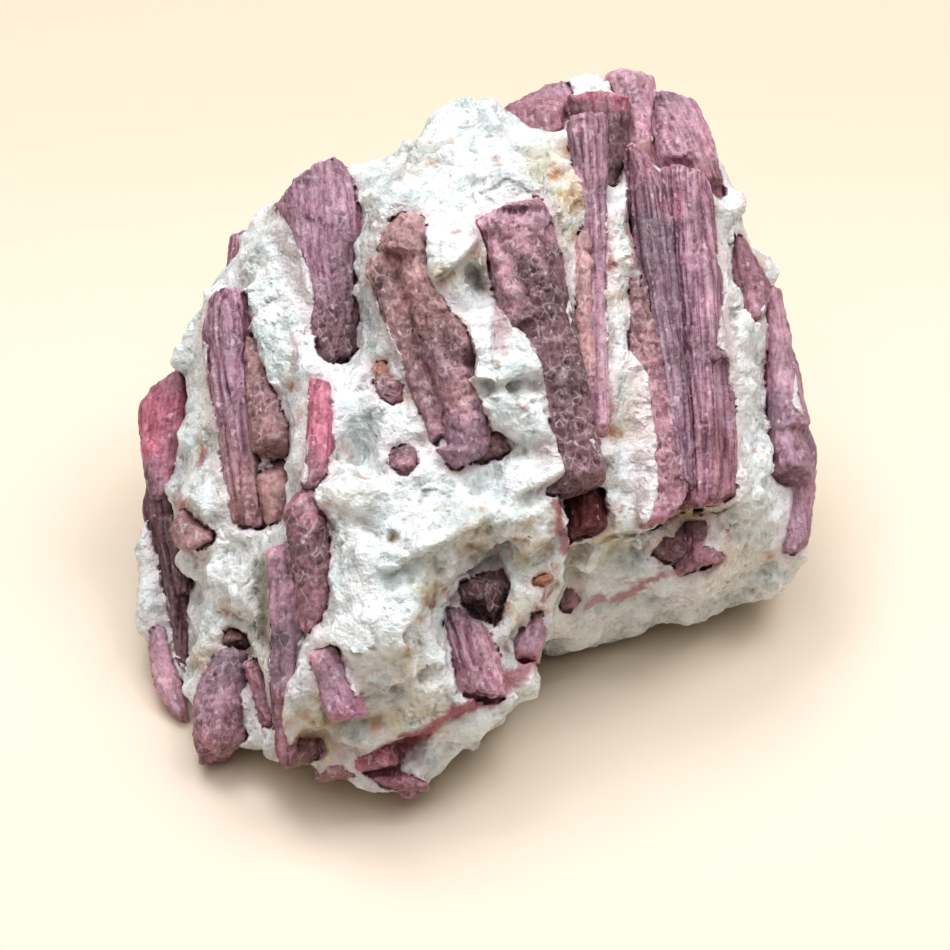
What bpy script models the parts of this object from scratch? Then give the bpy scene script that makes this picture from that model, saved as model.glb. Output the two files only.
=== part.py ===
"""Pink tourmaline in white albite: one rough hand specimen, lying on its broken base.

The rock and every crystal in it are closed solids of their own. Places are read on the stone's
broad face, in millimetres: across to the right, up the face, and out of it towards the eye.
"""

import math

import bmesh
import bpy
from mathutils import Matrix, Vector, noise

MM = 0.001

# Lay of the stone
FACE_SLOPE = math.radians(50)
EYE_DISTANCE = 450
FACE_HEIGHT = 18.9
STONE_SHIFT = (0.2, -5.07)

# Crystals
SIDES = 9
THIN_SIDES = 6
THIN_WIDTH = 2.3
SHORT = 9
TRIGONAL = 0.07
BULGE = 0.06
END_SLANT = 0.35
SOCKET_GAP = 0.3
LEAST_GAP = 0.45

# Rock
SKIN_VOXEL = 1.2
LUMP_SIZE = 8.0
LUMP_HEIGHT = 0.9
FACET_SIZE = 4.2
FACET_HEIGHT = 1.3
EMBEDDED = 0.25
BANK_WIDTH = 2.2
BANK_REACH = 6
ROCK_TRIANGLES = 2700

# Colours
ALBITE_COLOUR = (0.78, 0.77, 0.75, 1)
ALBITE_ROUGHNESS = 0.6
TOURMALINE_ROUGHNESS = 0.35
TINTS = {
    "pink": (0.48, 0.27, 0.33, 1),
    "red": (0.42, 0.17, 0.21, 1),
    "mauve": (0.38, 0.24, 0.30, 1),
    "plum": (0.24, 0.13, 0.17, 1),
    "brown": (0.26, 0.14, 0.14, 1),
}

# Corners of the masses that make up the broken rock: (across, up, out)
MASSES = {
    "main": [
        (-7.5, 26, 2), (2.5, 27.5, 2), (11.5, 22.5, 4), (18, 27.5, -1), (23, 24.5, -3),
        (26, 14.5, -2), (29, -2.5, 0), (26, -4.5, 5), (16.5, -6, 8.5), (8.5, -8.5, 11),
        (-5.5, 3.5, 12), (-14.5, 5.5, 9), (-17.5, 14.5, 3), (-12.5, 27.5, -5),
        (-15.5, 28.8, -12), (-5, 32, -11), (0.5, 34.5, -10), (9, 37.5, -12),
        (17.5, 39.3, -13), (22.5, 36, -13.5), (17, 39, -19), (22, 36, -19), (26, 27.5, -11), (30, 16.5, -9),
        (32.5, 7.5, -8), (33.7, -2.5, -7), (33.3, -8.5, -7), (30.5, -12.2, -11),
        (22.5, -13.7, -8), (8.5, -19.5, -5),
        (-18, 10, -30.8), (-20, 24.5, -20), (5, 36.9, -16), (22, 31.6, -19),
        (28, 7.7, -25), (5, 14, -32.5), (30, -7.2, -16.5), (-10, 0, -31), (18, -1, -30),
    ],
    "left_flank": [
        (-23.5, 22.5, -9), (-21.3, 26, -11), (-27, 14.5, -8), (-31, 9, -10),
        (-33, 5.5, -9), (-32.7, -4.5, -7), (-34.3, -12.5, -5), (-34.5, -16.5, -4),
        (-32, -22.5, 0), (-29, -28.2, 3.5), (-22.5, -29.3, 5.5), (-17.5, -26.5, 12),
        (-17.5, -14.5, 13), (-16.5, -2.5, 11), (-15.5, 9.5, 7.5), (-17.5, 22.5, -3),
        (-16.5, 29.5, -10),
        (-28, -4, -19), (-30, 1, -14), (-22, 17, -22), (-20, 5, -28),
        (-26, -19, -4), (-22, -25, 2), (-6, -26, 4), (-5, 0, -30),
    ],
    "front_lobe": [
        (-15.5, -0.5, 11.5), (-5.5, 3, 12.5), (6.5, -2.5, 13), (8, -6.5, 14),
        (7.1, -12.5, 13), (4.5, -18.5, 11), (0, -23.7, 10.5), (-4.5, -31.5, 12),
        (-8.5, -33, 12.5), (-13, -31.5, 13), (-19, -28.5, 13.5), (-20, -22.5, 14.5),
        (-18.5, -12.5, 15), (-14.5, -16.5, 19), (-4.5, -16.5, 19), (-7.5, -24.5, 18),
        (-12.5, -8.5, 17.5), (-1.5, -6.5, 17.5),
        (-20, -26, 4), (-8, -29, 8), (-2, -26, 5), (6, -20, -1), (0, -6, -4),
    ],
}

# Corners of the lumps and blades that stand on the masses and hang over the crystals
LUMPS = {
    "top_knob": [
        (-4.5, 35.7, -9), (-2.5, 37, -10), (0.5, 37, -10), (3.5, 36, -9.5), (8, 35.5, -10),
        (10, 33, -7), (10.5, 29, -4.5), (8, 27.5, -2), (2, 28.5, 0), (-3, 30, 0),
        (-6.5, 31.5, -3), (-6, 34, -7), (-4, 34, -16), (6, 34, -16), (0, 26, -10),
    ],
    "top_tip": [
        (9.2, 38.5, -14), (10, 40.3, -16), (11.5, 40.7, -16.5), (13, 40, -16),
        (13.3, 38, -14), (9.5, 38, -20), (12, 38.5, -21), (13, 36, -18), (11, 35, -14),
    ],
    "upper_step": [
        (-11.5, 28, -8), (-9, 30.6, -9), (-6.5, 31.5, -7), (-5.5, 29, -2), (-7, 26.5, 2.5),
        (-9.5, 25.5, 2), (-11, 26, -3), (-8, 26, -12),
    ],
    "overhang": [
        (-4.3, 27.5, 3), (0, 29, 2), (4.5, 28, 2.5), (1.2, 24.5, 6.5), (1.2, 20.5, 7.5),
        (-0.5, 18, 8.5), (-2.5, 17.3, 9), (-3.5, 19, 8.5), (-4.5, 22, 7.5), (-4.7, 24.5, 6),
        (0, 24, -3), (-1, 19, 2), (3, 26, -3),
    ],
    "middle_blades": [
        (-2, 16.5, 6), (1.5, 17, 6.5), (4.5, 14, 8), (7, 12.5, 8.5), (6.5, 9.5, 10),
        (7.5, 6.5, 11), (3.5, 6.5, 12.5), (1, 7.5, 12.5), (-0.5, 9.5, 12), (0.5, 12, 11),
        (-1.5, 14, 9), (2, 12, 2), (5, 8, 5),
    ],
    "right_blade": [
        (3.2, 0.5, 12.5), (7, 2.8, 12.5), (9, 1.5, 13), (9.2, 0, 13.5), (6, -1.3, 14.5),
        (3, -1.2, 14), (1.5, 0, 12.5), (5, 0, 8), (8, -1, 9),
    ],
    "wedge": [
        (-16.3, -1.2, 14.8), (-13, 0.5, 15.5), (-9.7, -1.2, 16.5), (-10, -2.6, 17),
        (-12.5, -3.5, 17), (-15.5, -2.2, 15.5), (-12, -1, 12), (-10, -4, 13),
    ],
    "shelf": [
        (-6.5, -6.5, 17.5), (-2, -4, 17), (3, -3.2, 15.5), (7.5, -1.8, 14),
        (8, -3.5, 14), (5, -5.5, 15.5), (2, -7, 16.5), (-2, -8, 18), (-5.5, -8.5, 19),
        (0, -6, 10), (5, -4, 9), (-5, -7, 12),
    ],
    "low_knob": [
        (-3.5, -23.5, 13), (-0.5, -23.2, 12), (-0.7, -26, 11.5), (-2, -28.5, 11),
        (-4, -28, 12.5), (-3, -25, 7),
    ],
    "bottom_knob": [
        (-13.5, -29.5, 13), (-9, -30.5, 14), (-4, -29.5, 12.5), (-3.5, -31, 11.5),
        (-6, -33, 12), (-9.5, -33.3, 12.5), (-13, -31.8, 12.5), (-8, -29, 7),
    ],
    "left_rib": [
        (-28.8, 12, -8), (-27.5, 14.8, -9), (-25.8, 8, -3), (-25.2, 0, 1.5),
        (-25.5, -4, 3), (-28.3, -3, 1), (-29.3, 5, -5), (-27, 4, -9),
    ],
    "upper_rib": [
        (-22.5, 26, -10), (-20.5, 27.8, -10.5), (-19.5, 24, -5.5), (-17.5, 17, -0.5),
        (-15.8, 12, 4), (-18, 8.5, 5.5), (-21.5, 11, 2.5), (-23.3, 18, -2.5),
        (-23.5, 23, -8), (-20, 18, -10),
    ],
    "middle_rib": [
        (-18.8, 13.5, 3), (-16.6, 13.8, 5), (-16.2, 5, 10), (-16.4, 0, 12),
        (-18.2, -0.5, 11), (-18.9, 6, 7.5), (-17, 5, 2),
    ],
}

# Crystals, each of one or more rods grown together. A rod is the top and the foot of its axis,
# its width at each, and for a top broken aslant how far that rises to the right
FRONT_CRYSTALS = {
    "far_left": [((-31.1, 9.9, -13), (-31.5, -1.2, -8), 4.0, 2.4)],
    "far_left_low": [
        ((-31.7, -1.2, -10), (-29.1, -19.3, -2), 2.6, 1.4),
        ((-30.2, -5, -7), (-29.3, -12.5, -4), 2, 2.2),
    ],
    "left_strip": [((-23.8, 23.7, -14), (-23.6, 17.5, -11), 1.6, 1.2)],
    "left_long": [((-24.9, 18.8, -5), (-22.4, -5.5, 4), 4.2, 3.6)],
    "left_brown": [((-22.3, 14.5, -2), (-20.4, 2.3, 5), 1.0, 3.6)],
    "left_foot": [((-19.9, 1.3, 3.4), (-19.5, -4.7, 5.6), 2.8, 2.8)],
    "upper_left": [((-15.7, 29.8, -9), (-13.3, 11.2, 2), 7.0, 3.6, 0.7)],
    "thin_red": [((-15.4, 9.9, 8), (-15.4, -0.9, 12.5), 2.0, 1.9)],
    "pair_right": [((-16.7, -1.3, 12), (-16.2, -15.7, 17), 3.6, 2.8)],
    "pair_left": [
        ((-19.5, -7.1, 11), (-18.8, -22.5, 15.5), 2.5, 1.5),
        ((-19.4, -20, 14.3), (-19.1, -29, 15.2), 1.4, 0.9),
    ],
    "foot_patch": [((-18, -22, 8), (-17.1, -29.1, 12.6), 2.6, 3.4)],
    "low_left": [((-23.9, -17.6, 4.6), (-25.9, -27.7, 7), 3.3, 4.6)],
    "low_left_stub": [((-23.7, -15.4, 3.6), (-23.9, -17.2, 4.4), 2.0, 2.2)],
    "low_sliver": [((-22.4, -19, 6.5), (-20.6, -24.7, 9.5), 1.2, 1.3)],
    "rim_left": [((-31.7, -15.3, -3.5), (-29.7, -23.7, 0.6), 1.6, 1.4)],
    "left_lump": [((-28.9, -3, 0), (-27.6, -7.3, 2.2), 3.0, 2.6)],
    "centre": [
        ((-6.9, 25.8, 4), (-0.9, 0.5, 13.2), 4.4, 4.8),
        ((-9.8, 21.7, 5), (-4.6, 3.2, 11.5), 2.4, 2.2),
        ((-2.9, 15.4, 9.4), (-0.8, 11.2, 11), 2.4, 2.8),
    ],
    "centre_small": [((1.3, 5.7, 9.5), (2.5, 1.7, 11.5), 1.8, 2.2)],
    "centre_right": [
        ((3.8, 27.2, 3), (11, -1.3, 12.5), 6.0, 4.0),
        ((2.3, 24.6, 4), (4.5, 15, 8), 3.0, 3.0),
    ],
    "recess_red": [((11.2, 3.5, 4.6), (11.4, -6.5, 9.4), 3.4, 3.4)],
    "long_thin": [((11.2, 36.2, -6), (12.1, 24.5, -1), 3.6, 1.8),
                  ((12, 27.5, -2), (12.2, 3.8, 9), 1.8, 2.3)],
    "long_brown": [((9.3, 23.5, 1.5), (10.9, 4.5, 8.6), 1.1, 1.2)],
    "right_dark": [((16.8, 32.5, -7.6), (20.2, -4.1, 8.2), 3.4, 2.8)],
    "right_grainy": [((16.3, 19.6, 0.4), (18.7, -4.7, 9.6), 1.7, 1.5)],
    "right_big": [
        ((20.9, 31.3, -8), (23.5, -3, 6.6), 4.4, 3.4),
        ((24.4, 11.2, 0), (25.2, -2.6, 5.4), 1.8, 1.8),
    ],
    "back_right": [((20.1, 38, -14), (23.3, 27, -9.6), 4.4, 4.0)],
    "edge_inner": [((26.7, 23.6, -10.5), (28.2, 16.3, -7.5), 2.2, 1.4)],
    "edge_outer": [
        ((29.8, 18.5, -12), (31.5, -0.3, -4), 2.2, 3.7),
        ((32.8, 4.5, -8), (32.3, -7.8, -3.5), 2.2, 1.7),
    ],
    "top_red": [((12.7, 38.4, -12), (14.1, 28, -8), 4.6, 2.0)],
    "top_left": [((7.1, 38.7, -16), (7.6, 32.5, -13), 5.6, 5.0)],
    "top_pink": [((15.6, 40.5, -16), (17, 31.5, -12), 4.8, 3.2)],
    "lobe_fan": [((-0.9, -12.5, 13), (0.7, -22.5, 15), 3.9, 4.4)],
    "lobe_dark": [((1.2, -8.9, 11), (0.7, -14.7, 12.5), 4.4, 3.6)],
    "lobe_edge": [((6, -13.7, 9), (4.7, -19.3, 11), 2.2, 2.6)],
    "lobe_spot": [((6.4, -9.4, 11.5), (6.8, -11.4, 12.3), 1.4, 1.4)],
    "stub": [((-14.7, -17.4, 17.5), (-13.1, -24.6, 19.5), 2.4, 2.6)],
    "button": [((-7.2, 3.4, 11), (-7.1, 0, 14), 2.2, 2.3)],
    "small_brown": [((-9, 11.4, 7), (-7.8, 6.9, 9), 2.0, 2.0)],
    "under_right": [((21.4, 4, -2), (22.5, -8.9, 3), 4.4, 4.4)],
    "under_middle": [((18.3, 4, -2), (19.5, -7.9, 3.6), 3.2, 3.2)],
    "under_small": [((9, 0, -1), (9.5, -12.6, 3.2), 1.9, 2.0)],
    "front_red": [
        ((-10.3, -22, 10), (-9.2, -29.2, 13.4), 3.8, 4.0),
        ((-7.5, -25.5, 10), (-6.5, -31.6, 12.6), 2.6, 3.0),
    ],
    "front_left_red": [((-14.2, -24, 10.6), (-13.6, -30.9, 13), 2.4, 2.8)],
}

# Crystals that come out at the back and at the ends of the stone
BACK_CRYSTALS = {
    "back_upper": [((-7, 27, -25), (-5, 12, -17), 4.2, 4.0)],
    "back_middle": [((3, 24.5, -29), (4.5, 10, -22), 3.0, 3.4)],
    "back_thin": [((8.5, 27, -27), (9.5, 14, -20), 2.2, 2.0)],
    "back_low": [((-2, 14, -33.5), (-1, 2, -27), 3.6, 3.2)],
    "back_corner": [((18, 27, -25), (20, 13, -18), 4.0, 3.6)],
    "right_low": [((29, 8, -17), (30.5, -6, -11), 2.6, 2.8)],
    "left_back": [((-27, 11, -18), (-27.5, -3, -12), 3.4, 3.0)],
}

CRYSTALS = {**FRONT_CRYSTALS, **BACK_CRYSTALS}

# The crystals that aren't pink
TINTED = {
    "red": ("far_left", "thin_red", "top_red", "edge_inner", "front_red", "front_left_red",
            "foot_patch", "back_thin"),
    "mauve": ("left_long", "upper_left", "centre", "right_big", "pair_left", "long_thin",
              "back_upper", "left_back"),
    "plum": ("far_left_low", "low_left", "lobe_dark", "right_dark", "recess_red",
             "back_corner"),
    "brown": ("left_brown", "low_left_stub", "pair_right", "right_grainy", "small_brown",
              "button", "left_lump", "long_brown", "under_right", "under_middle",
              "under_small", "lobe_spot"),
}


def seen(point):
    """A point of the stone at its true place, from where the eye reads it on the face."""
    across, up, out = point
    nearer = 1 - out / EYE_DISTANCE
    return Vector((across * nearer, up * nearer, out)) * MM


def clear_scene():
    for old in list(bpy.data.objects):
        bpy.data.objects.remove(old)


def collection(name):
    made = bpy.data.collections.new(name)
    bpy.context.scene.collection.children.link(made)
    return made


def material(name, colour, roughness):
    made = bpy.data.materials.new(name)
    made.use_nodes = True
    shader = made.node_tree.nodes["Principled BSDF"]
    shader.inputs["Base Color"].default_value = colour
    shader.inputs["Roughness"].default_value = roughness
    return made


def new_object(name, mesh, group, parent):
    made = bpy.data.objects.new(name, mesh)
    group.objects.link(made)
    made.parent = parent
    return made


def lay_empty(group):
    """The stone lies with its broad face sloping up at 50 degrees."""
    lay = bpy.data.objects.new("lay_of_the_stone", None)
    group.objects.link(lay)
    lay.location = Vector((*STONE_SHIFT, FACE_HEIGHT)) * MM
    lay.rotation_euler = (FACE_SLOPE, 0, 0)
    return lay


def evaluated_mesh(obj, name):
    """The mesh that the object's modifiers give, as plain data."""
    bpy.context.view_layer.update()
    graph = bpy.context.evaluated_depsgraph_get()
    mesh = bpy.data.meshes.new_from_object(obj.evaluated_get(graph))
    mesh.name = name
    return mesh


def boolean(obj, other, operation):
    modifier = obj.modifiers.new(f"{operation.lower()} {other.name}", "BOOLEAN")
    modifier.operation = operation
    modifier.object = other
    return modifier


def tint_of(name):
    return next((tint for tint, names in TINTED.items() if name in names), "pink")


def own_turn(name):
    """An angle of the crystal's own, so that no two show the same sides and ends."""
    return sum(place * ord(letter) for place, letter in enumerate(name, 1)) * 0.7


def rod_mesh(name, length, top_width, foot_width, rise, grow):
    """A prism along Z, slightly three-cornered, with slanted broken ends."""
    turn = own_turn(name)
    thin = max(top_width, foot_width) < THIN_WIDTH
    bm = bmesh.new()
    bmesh.ops.create_cone(
        bm, cap_ends=True, segments=THIN_SIDES if thin else SIDES,
        radius1=(foot_width / 2 + grow) * MM, radius2=(top_width / 2 + grow) * MM,
        depth=(length + 2 * grow) * MM, matrix=Matrix.Rotation(turn, 4, "Z"),
    )
    if length > SHORT:
        sides = [e for e in bm.edges if e.verts[0].co.z * e.verts[1].co.z < 0]
        bmesh.ops.subdivide_edges(bm, edges=sides, cuts=1)
    for v in bm.verts:
        angle = math.atan2(v.co.y, v.co.x) - turn
        v.co.xy *= 1 + TRIGONAL * math.cos(3 * angle)
        if abs(v.co.z) < length / 4 * MM:
            v.co.xy *= 1 + BULGE * math.sin(turn)
        elif rise and v.co.z > 0:
            v.co.z -= rise * v.co.x
        else:
            lean = turn if v.co.z > 0 else 2 * turn
            v.co.z += END_SLANT * (v.co.x * math.cos(lean) + v.co.y * math.sin(lean))
    mesh = bpy.data.meshes.new(name)
    bm.to_mesh(mesh)
    bm.free()
    return mesh


def place_rod(name, rod, group, parent, grow=0.0):
    top, foot, top_width, foot_width, *rise = rod
    top, foot = seen(top), seen(foot)
    axis = top - foot
    mesh = rod_mesh(name, axis.length / MM, top_width, foot_width, sum(rise), grow)
    made = new_object(name, mesh, group, parent)
    made.location = (top + foot) / 2
    made.rotation_mode = "QUATERNION"
    made.rotation_quaternion = axis.to_track_quat("Z", "Y")
    return made


def rod_gap(first, second):
    """The least distance between two rods' sides, in mm, from points along their axes."""
    gap = math.inf
    for s in range(13):
        for t in range(13):
            sides = 0
            ends = []
            for rod, k in ((first, s / 12), (second, t / 12)):
                ends.append(seen(rod[0]).lerp(seen(rod[1]), k))
                sides += (rod[2] * (1 - k) + rod[3] * k) / 2 * (1 + TRIGONAL)
            gap = min(gap, (ends[0] - ends[1]).length / MM - sides)
    return gap


def crystal_gap(first, second):
    return min(rod_gap(a, b) for a in CRYSTALS[first] for b in CRYSTALS[second])


def build_crystals(parts, helpers, lay):
    """Every crystal, and the shapes a little larger than it that its socket is cut with."""
    crystals, sockets = {}, {}
    for name, rods in CRYSTALS.items():
        sockets[name] = []
        for k, rod in enumerate(rods):
            rod_name = f"{name}_{k}"
            if k == 0:
                crystals[name] = place_rod(rod_name, rod, parts, lay)
                crystals[name].name = f"crystal_{name}"
            else:
                boolean(crystals[name], place_rod(rod_name, rod, helpers, lay), "UNION")
            socket = place_rod(rod_name, rod, helpers, lay, SOCKET_GAP)
            socket.name = f"socket_{rod_name}"
            sockets[name].append(socket)
    names = list(CRYSTALS)
    for k, later in enumerate(names):
        for earlier in names[:k]:
            if crystal_gap(earlier, later) < LEAST_GAP:
                for socket in sockets[earlier]:
                    boolean(crystals[later], socket, "DIFFERENCE")
    return crystals, sockets


def hull_object(name, corners, group, parent):
    bm = bmesh.new()
    for corner in corners:
        bm.verts.new(seen(corner))
    hull = bmesh.ops.convex_hull(bm, input=bm.verts)
    inner = [v for v in hull["geom_interior"] if isinstance(v, bmesh.types.BMVert)]
    bmesh.ops.delete(bm, geom=inner, context="VERTS")
    bmesh.ops.recalc_face_normals(bm, faces=bm.faces)
    mesh = bpy.data.meshes.new(name)
    bm.to_mesh(mesh)
    bm.free()
    return new_object(name, mesh, group, parent)


def even_skin(obj):
    """One skin of even squares round everything that the object holds."""
    remesh = obj.modifiers.new("even skin", "REMESH")
    remesh.mode = "VOXEL"
    remesh.voxel_size = SKIN_VOXEL * MM
    return evaluated_mesh(obj, obj.name)


def roughened(mesh):
    """Moves the rock's skin in and out: broad lumps, and small flat facets as it broke."""
    mesh.update()
    moved = []
    for v in mesh.vertices:
        p = v.co / MM
        lump = noise.fractal(p / LUMP_SIZE, 0.9, 2.1, 3)
        _, corners = noise.voronoi(p / FACET_SIZE)
        lean = noise.cell_vector(corners[0] * 37) - Vector((0.5, 0.5, 0.5))
        facet = (p / FACET_SIZE - corners[0]).dot(lean.normalized())
        moved.append(v.co + v.normal * MM * (LUMP_HEIGHT * lump + FACET_HEIGHT * facet))
    for v, co in zip(mesh.vertices, moved):
        v.co = co


def bank(point, rod):
    """How strongly a rod holds the rock beside it, and how far out the rock reaches there."""
    top, foot = seen(rod[0]) / MM, seen(rod[1]) / MM
    run = (top - foot).xy
    share = min(1, max(0, (point - foot).xy.dot(run) / run.length_squared))
    middle = foot.lerp(top, share)
    half = (rod[3] + (rod[2] - rod[3]) * share) / 2
    level = middle.z + EMBEDDED * half
    beside = 1 - ((point.xy - middle.xy).length - half) / BANK_WIDTH
    near = 2 - abs(point.z - level) / BANK_REACH
    hold = min(1, max(0, beside)) * min(1, max(0, near))
    return hold * hold * (3 - 2 * hold), level


def banked_to_crystals(mesh):
    """Brings the rock's broad face to the middle of each crystal that lies in it."""
    rods = [rod for rods in FRONT_CRYSTALS.values() for rod in rods]
    mesh.update()
    normals = [v.normal.copy() for v in mesh.vertices]
    for v, normal in zip(mesh.vertices, normals):
        if normal.z < 0.2:
            continue
        point = v.co / MM
        holds = [bank(point, rod) for rod in rods]
        total = sum(hold for hold, _ in holds)
        if total > 0:
            level = sum(hold * out for hold, out in holds) / total
            v.co.z += max(hold for hold, _ in holds) * (level - point.z) * MM


def largest_piece(mesh):
    """Keeps the rock itself and drops crumbs that a socket's cut has parted from it."""
    bm = bmesh.new()
    bm.from_mesh(mesh)
    left = set(bm.verts)
    pieces = []
    while left:
        todo = [left.pop()]
        piece = set(todo)
        while todo:
            for edge in todo.pop().link_edges:
                for v in edge.verts:
                    if v in left:
                        left.remove(v)
                        piece.add(v)
                        todo.append(v)
        pieces.append(piece)
    pieces.sort(key=len)
    crumbs = [v for piece in pieces[:-1] for v in piece]
    bmesh.ops.delete(bm, geom=crumbs, context="VERTS")
    bm.to_mesh(mesh)
    bm.free()


def table_cutter(group):
    """Everything below the table's height, which leaves the flat that the stone lies on."""
    bm = bmesh.new()
    bmesh.ops.create_cube(bm, size=200 * MM)
    mesh = bpy.data.meshes.new("below_the_table")
    bm.to_mesh(mesh)
    bm.free()
    cutter = new_object("below_the_table", mesh, group, None)
    cutter.location = (0, 0, -100 * MM)
    return cutter


def build_rock(helpers, lay):
    """The masses, roughened and laid up to the crystals, then the lumps that stand on them."""
    masses = [hull_object(name, corners, helpers, lay) for name, corners in MASSES.items()]
    for other in masses[1:]:
        boolean(masses[0], other, "UNION")
    skin = even_skin(masses[0])
    roughened(skin)
    banked_to_crystals(skin)
    lumps = [hull_object(name, corners, helpers, lay) for name, corners in LUMPS.items()]
    bm = bmesh.new()
    for mesh in [skin] + [lump.data for lump in lumps]:
        bm.from_mesh(mesh)
    bm.to_mesh(skin)
    bm.free()
    body = new_object("rock_body", skin, helpers, lay)
    whole = new_object("whole_rock", even_skin(body), helpers, lay)
    whole.data.calc_loop_triangles()
    decimate = whole.modifiers.new("fewer faces", "DECIMATE")
    decimate.ratio = ROCK_TRIANGLES / len(whole.data.loop_triangles)
    return new_object("albite", evaluated_mesh(whole, "albite"), helpers, lay)


def main():
    clear_scene()
    parts = collection("pink tourmaline in albite")
    helpers = collection("cutters")
    lay = lay_empty(parts)
    crystals, sockets = build_crystals(parts, helpers, lay)
    rock = build_rock(helpers, lay)
    for cutters in sockets.values():
        for cutter in cutters:
            boolean(rock, cutter, "DIFFERENCE")
    boolean(rock, table_cutter(helpers), "DIFFERENCE")
    mesh = evaluated_mesh(rock, "matrix")
    largest_piece(mesh)
    matrix = new_object("matrix", mesh, parts, lay)
    matrix.data.materials.append(material("albite", ALBITE_COLOUR, ALBITE_ROUGHNESS))
    for name, crystal in crystals.items():
        tint = tint_of(name)
        own = material(f"tourmaline_{tint}_{name}", TINTS[tint], TOURMALINE_ROUGHNESS)
        crystal.data.materials.append(own)
    for helper in helpers.objects:
        helper.hide_render = True
        helper.display_type = "WIRE"


main()
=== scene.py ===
import math
import random
from itertools import product

import bmesh
import bpy
import numpy as np
from bpy.props import FloatProperty, FloatVectorProperty, IntProperty, PointerProperty
from mathutils import Matrix, Vector, noise
from mathutils.bvhtree import BVHTree


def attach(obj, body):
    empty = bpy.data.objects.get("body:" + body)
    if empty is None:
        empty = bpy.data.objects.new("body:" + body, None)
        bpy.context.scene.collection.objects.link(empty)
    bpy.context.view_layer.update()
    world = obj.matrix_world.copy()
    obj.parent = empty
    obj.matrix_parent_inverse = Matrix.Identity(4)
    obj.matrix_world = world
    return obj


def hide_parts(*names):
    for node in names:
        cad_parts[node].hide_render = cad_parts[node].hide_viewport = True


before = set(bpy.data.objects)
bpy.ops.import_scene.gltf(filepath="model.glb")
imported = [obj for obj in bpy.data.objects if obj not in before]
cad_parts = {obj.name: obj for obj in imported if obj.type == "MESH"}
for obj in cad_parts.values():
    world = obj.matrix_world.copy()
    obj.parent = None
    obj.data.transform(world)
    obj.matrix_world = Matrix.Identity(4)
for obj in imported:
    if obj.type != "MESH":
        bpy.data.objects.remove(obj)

bl_info = {
    "name": "Pink tourmaline specimen",
    "version": (1, 0, 0),
    "blender": (4, 5, 0),
    "location": "3D View > Sidebar > Specimen",
    "description": "Dresses the rough tourmaline crystals and the albite that they grow in",
    "category": "Object",
}

MM = 0.001
HALF = Vector((0.5, 0.5, 0.5))

# The stone's broad face slopes up at this angle, and its middle is at this place, in mm
FACE_SLOPE = math.radians(50)
FACE_PLACE = np.array((0.2, -5.07, 18.9))
EYE_DISTANCE = 450
# How much of the broad face's plane the picture takes in, in mm
WIDTH_SEEN = 95
# Where the lamps hang and how wide they are, in metres, and where they aim
KEY_PLACE = (-0.16, 0.26, 0.56)
FILL_PLACE = (0.3, 0.1, 0.56)
LAMP_SIZE = 0.3
LAMP_AIM = Vector((0, 0, 0.02))
# Smoothing draws a crystal's edges in by this much, in mm
EDGE_REACH = 0.35
# The way out of the broad face, the way that most crystals run, up from their feet, and the way
# that the rock broke into blades
OUT = np.array((0, -math.sin(FACE_SLOPE), math.cos(FACE_SLOPE)))
COMMON_AXIS = np.array((-0.1, 0.866, 0.487))
BLADE_RUN = (0.85, 0.33, 0.41)
# The rock's lower rim stands so high over the table, in mm, and its foot is drawn in by this share
RIM_HEIGHT = 4.5
RIM_SHARE = 0.12
# No crystal stands further than this in front of the rock, in metres
FRONT_ROOM = 12 * MM
# A block keeps this far off the table, in metres
TABLE_ROOM = 0.2 * MM

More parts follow.
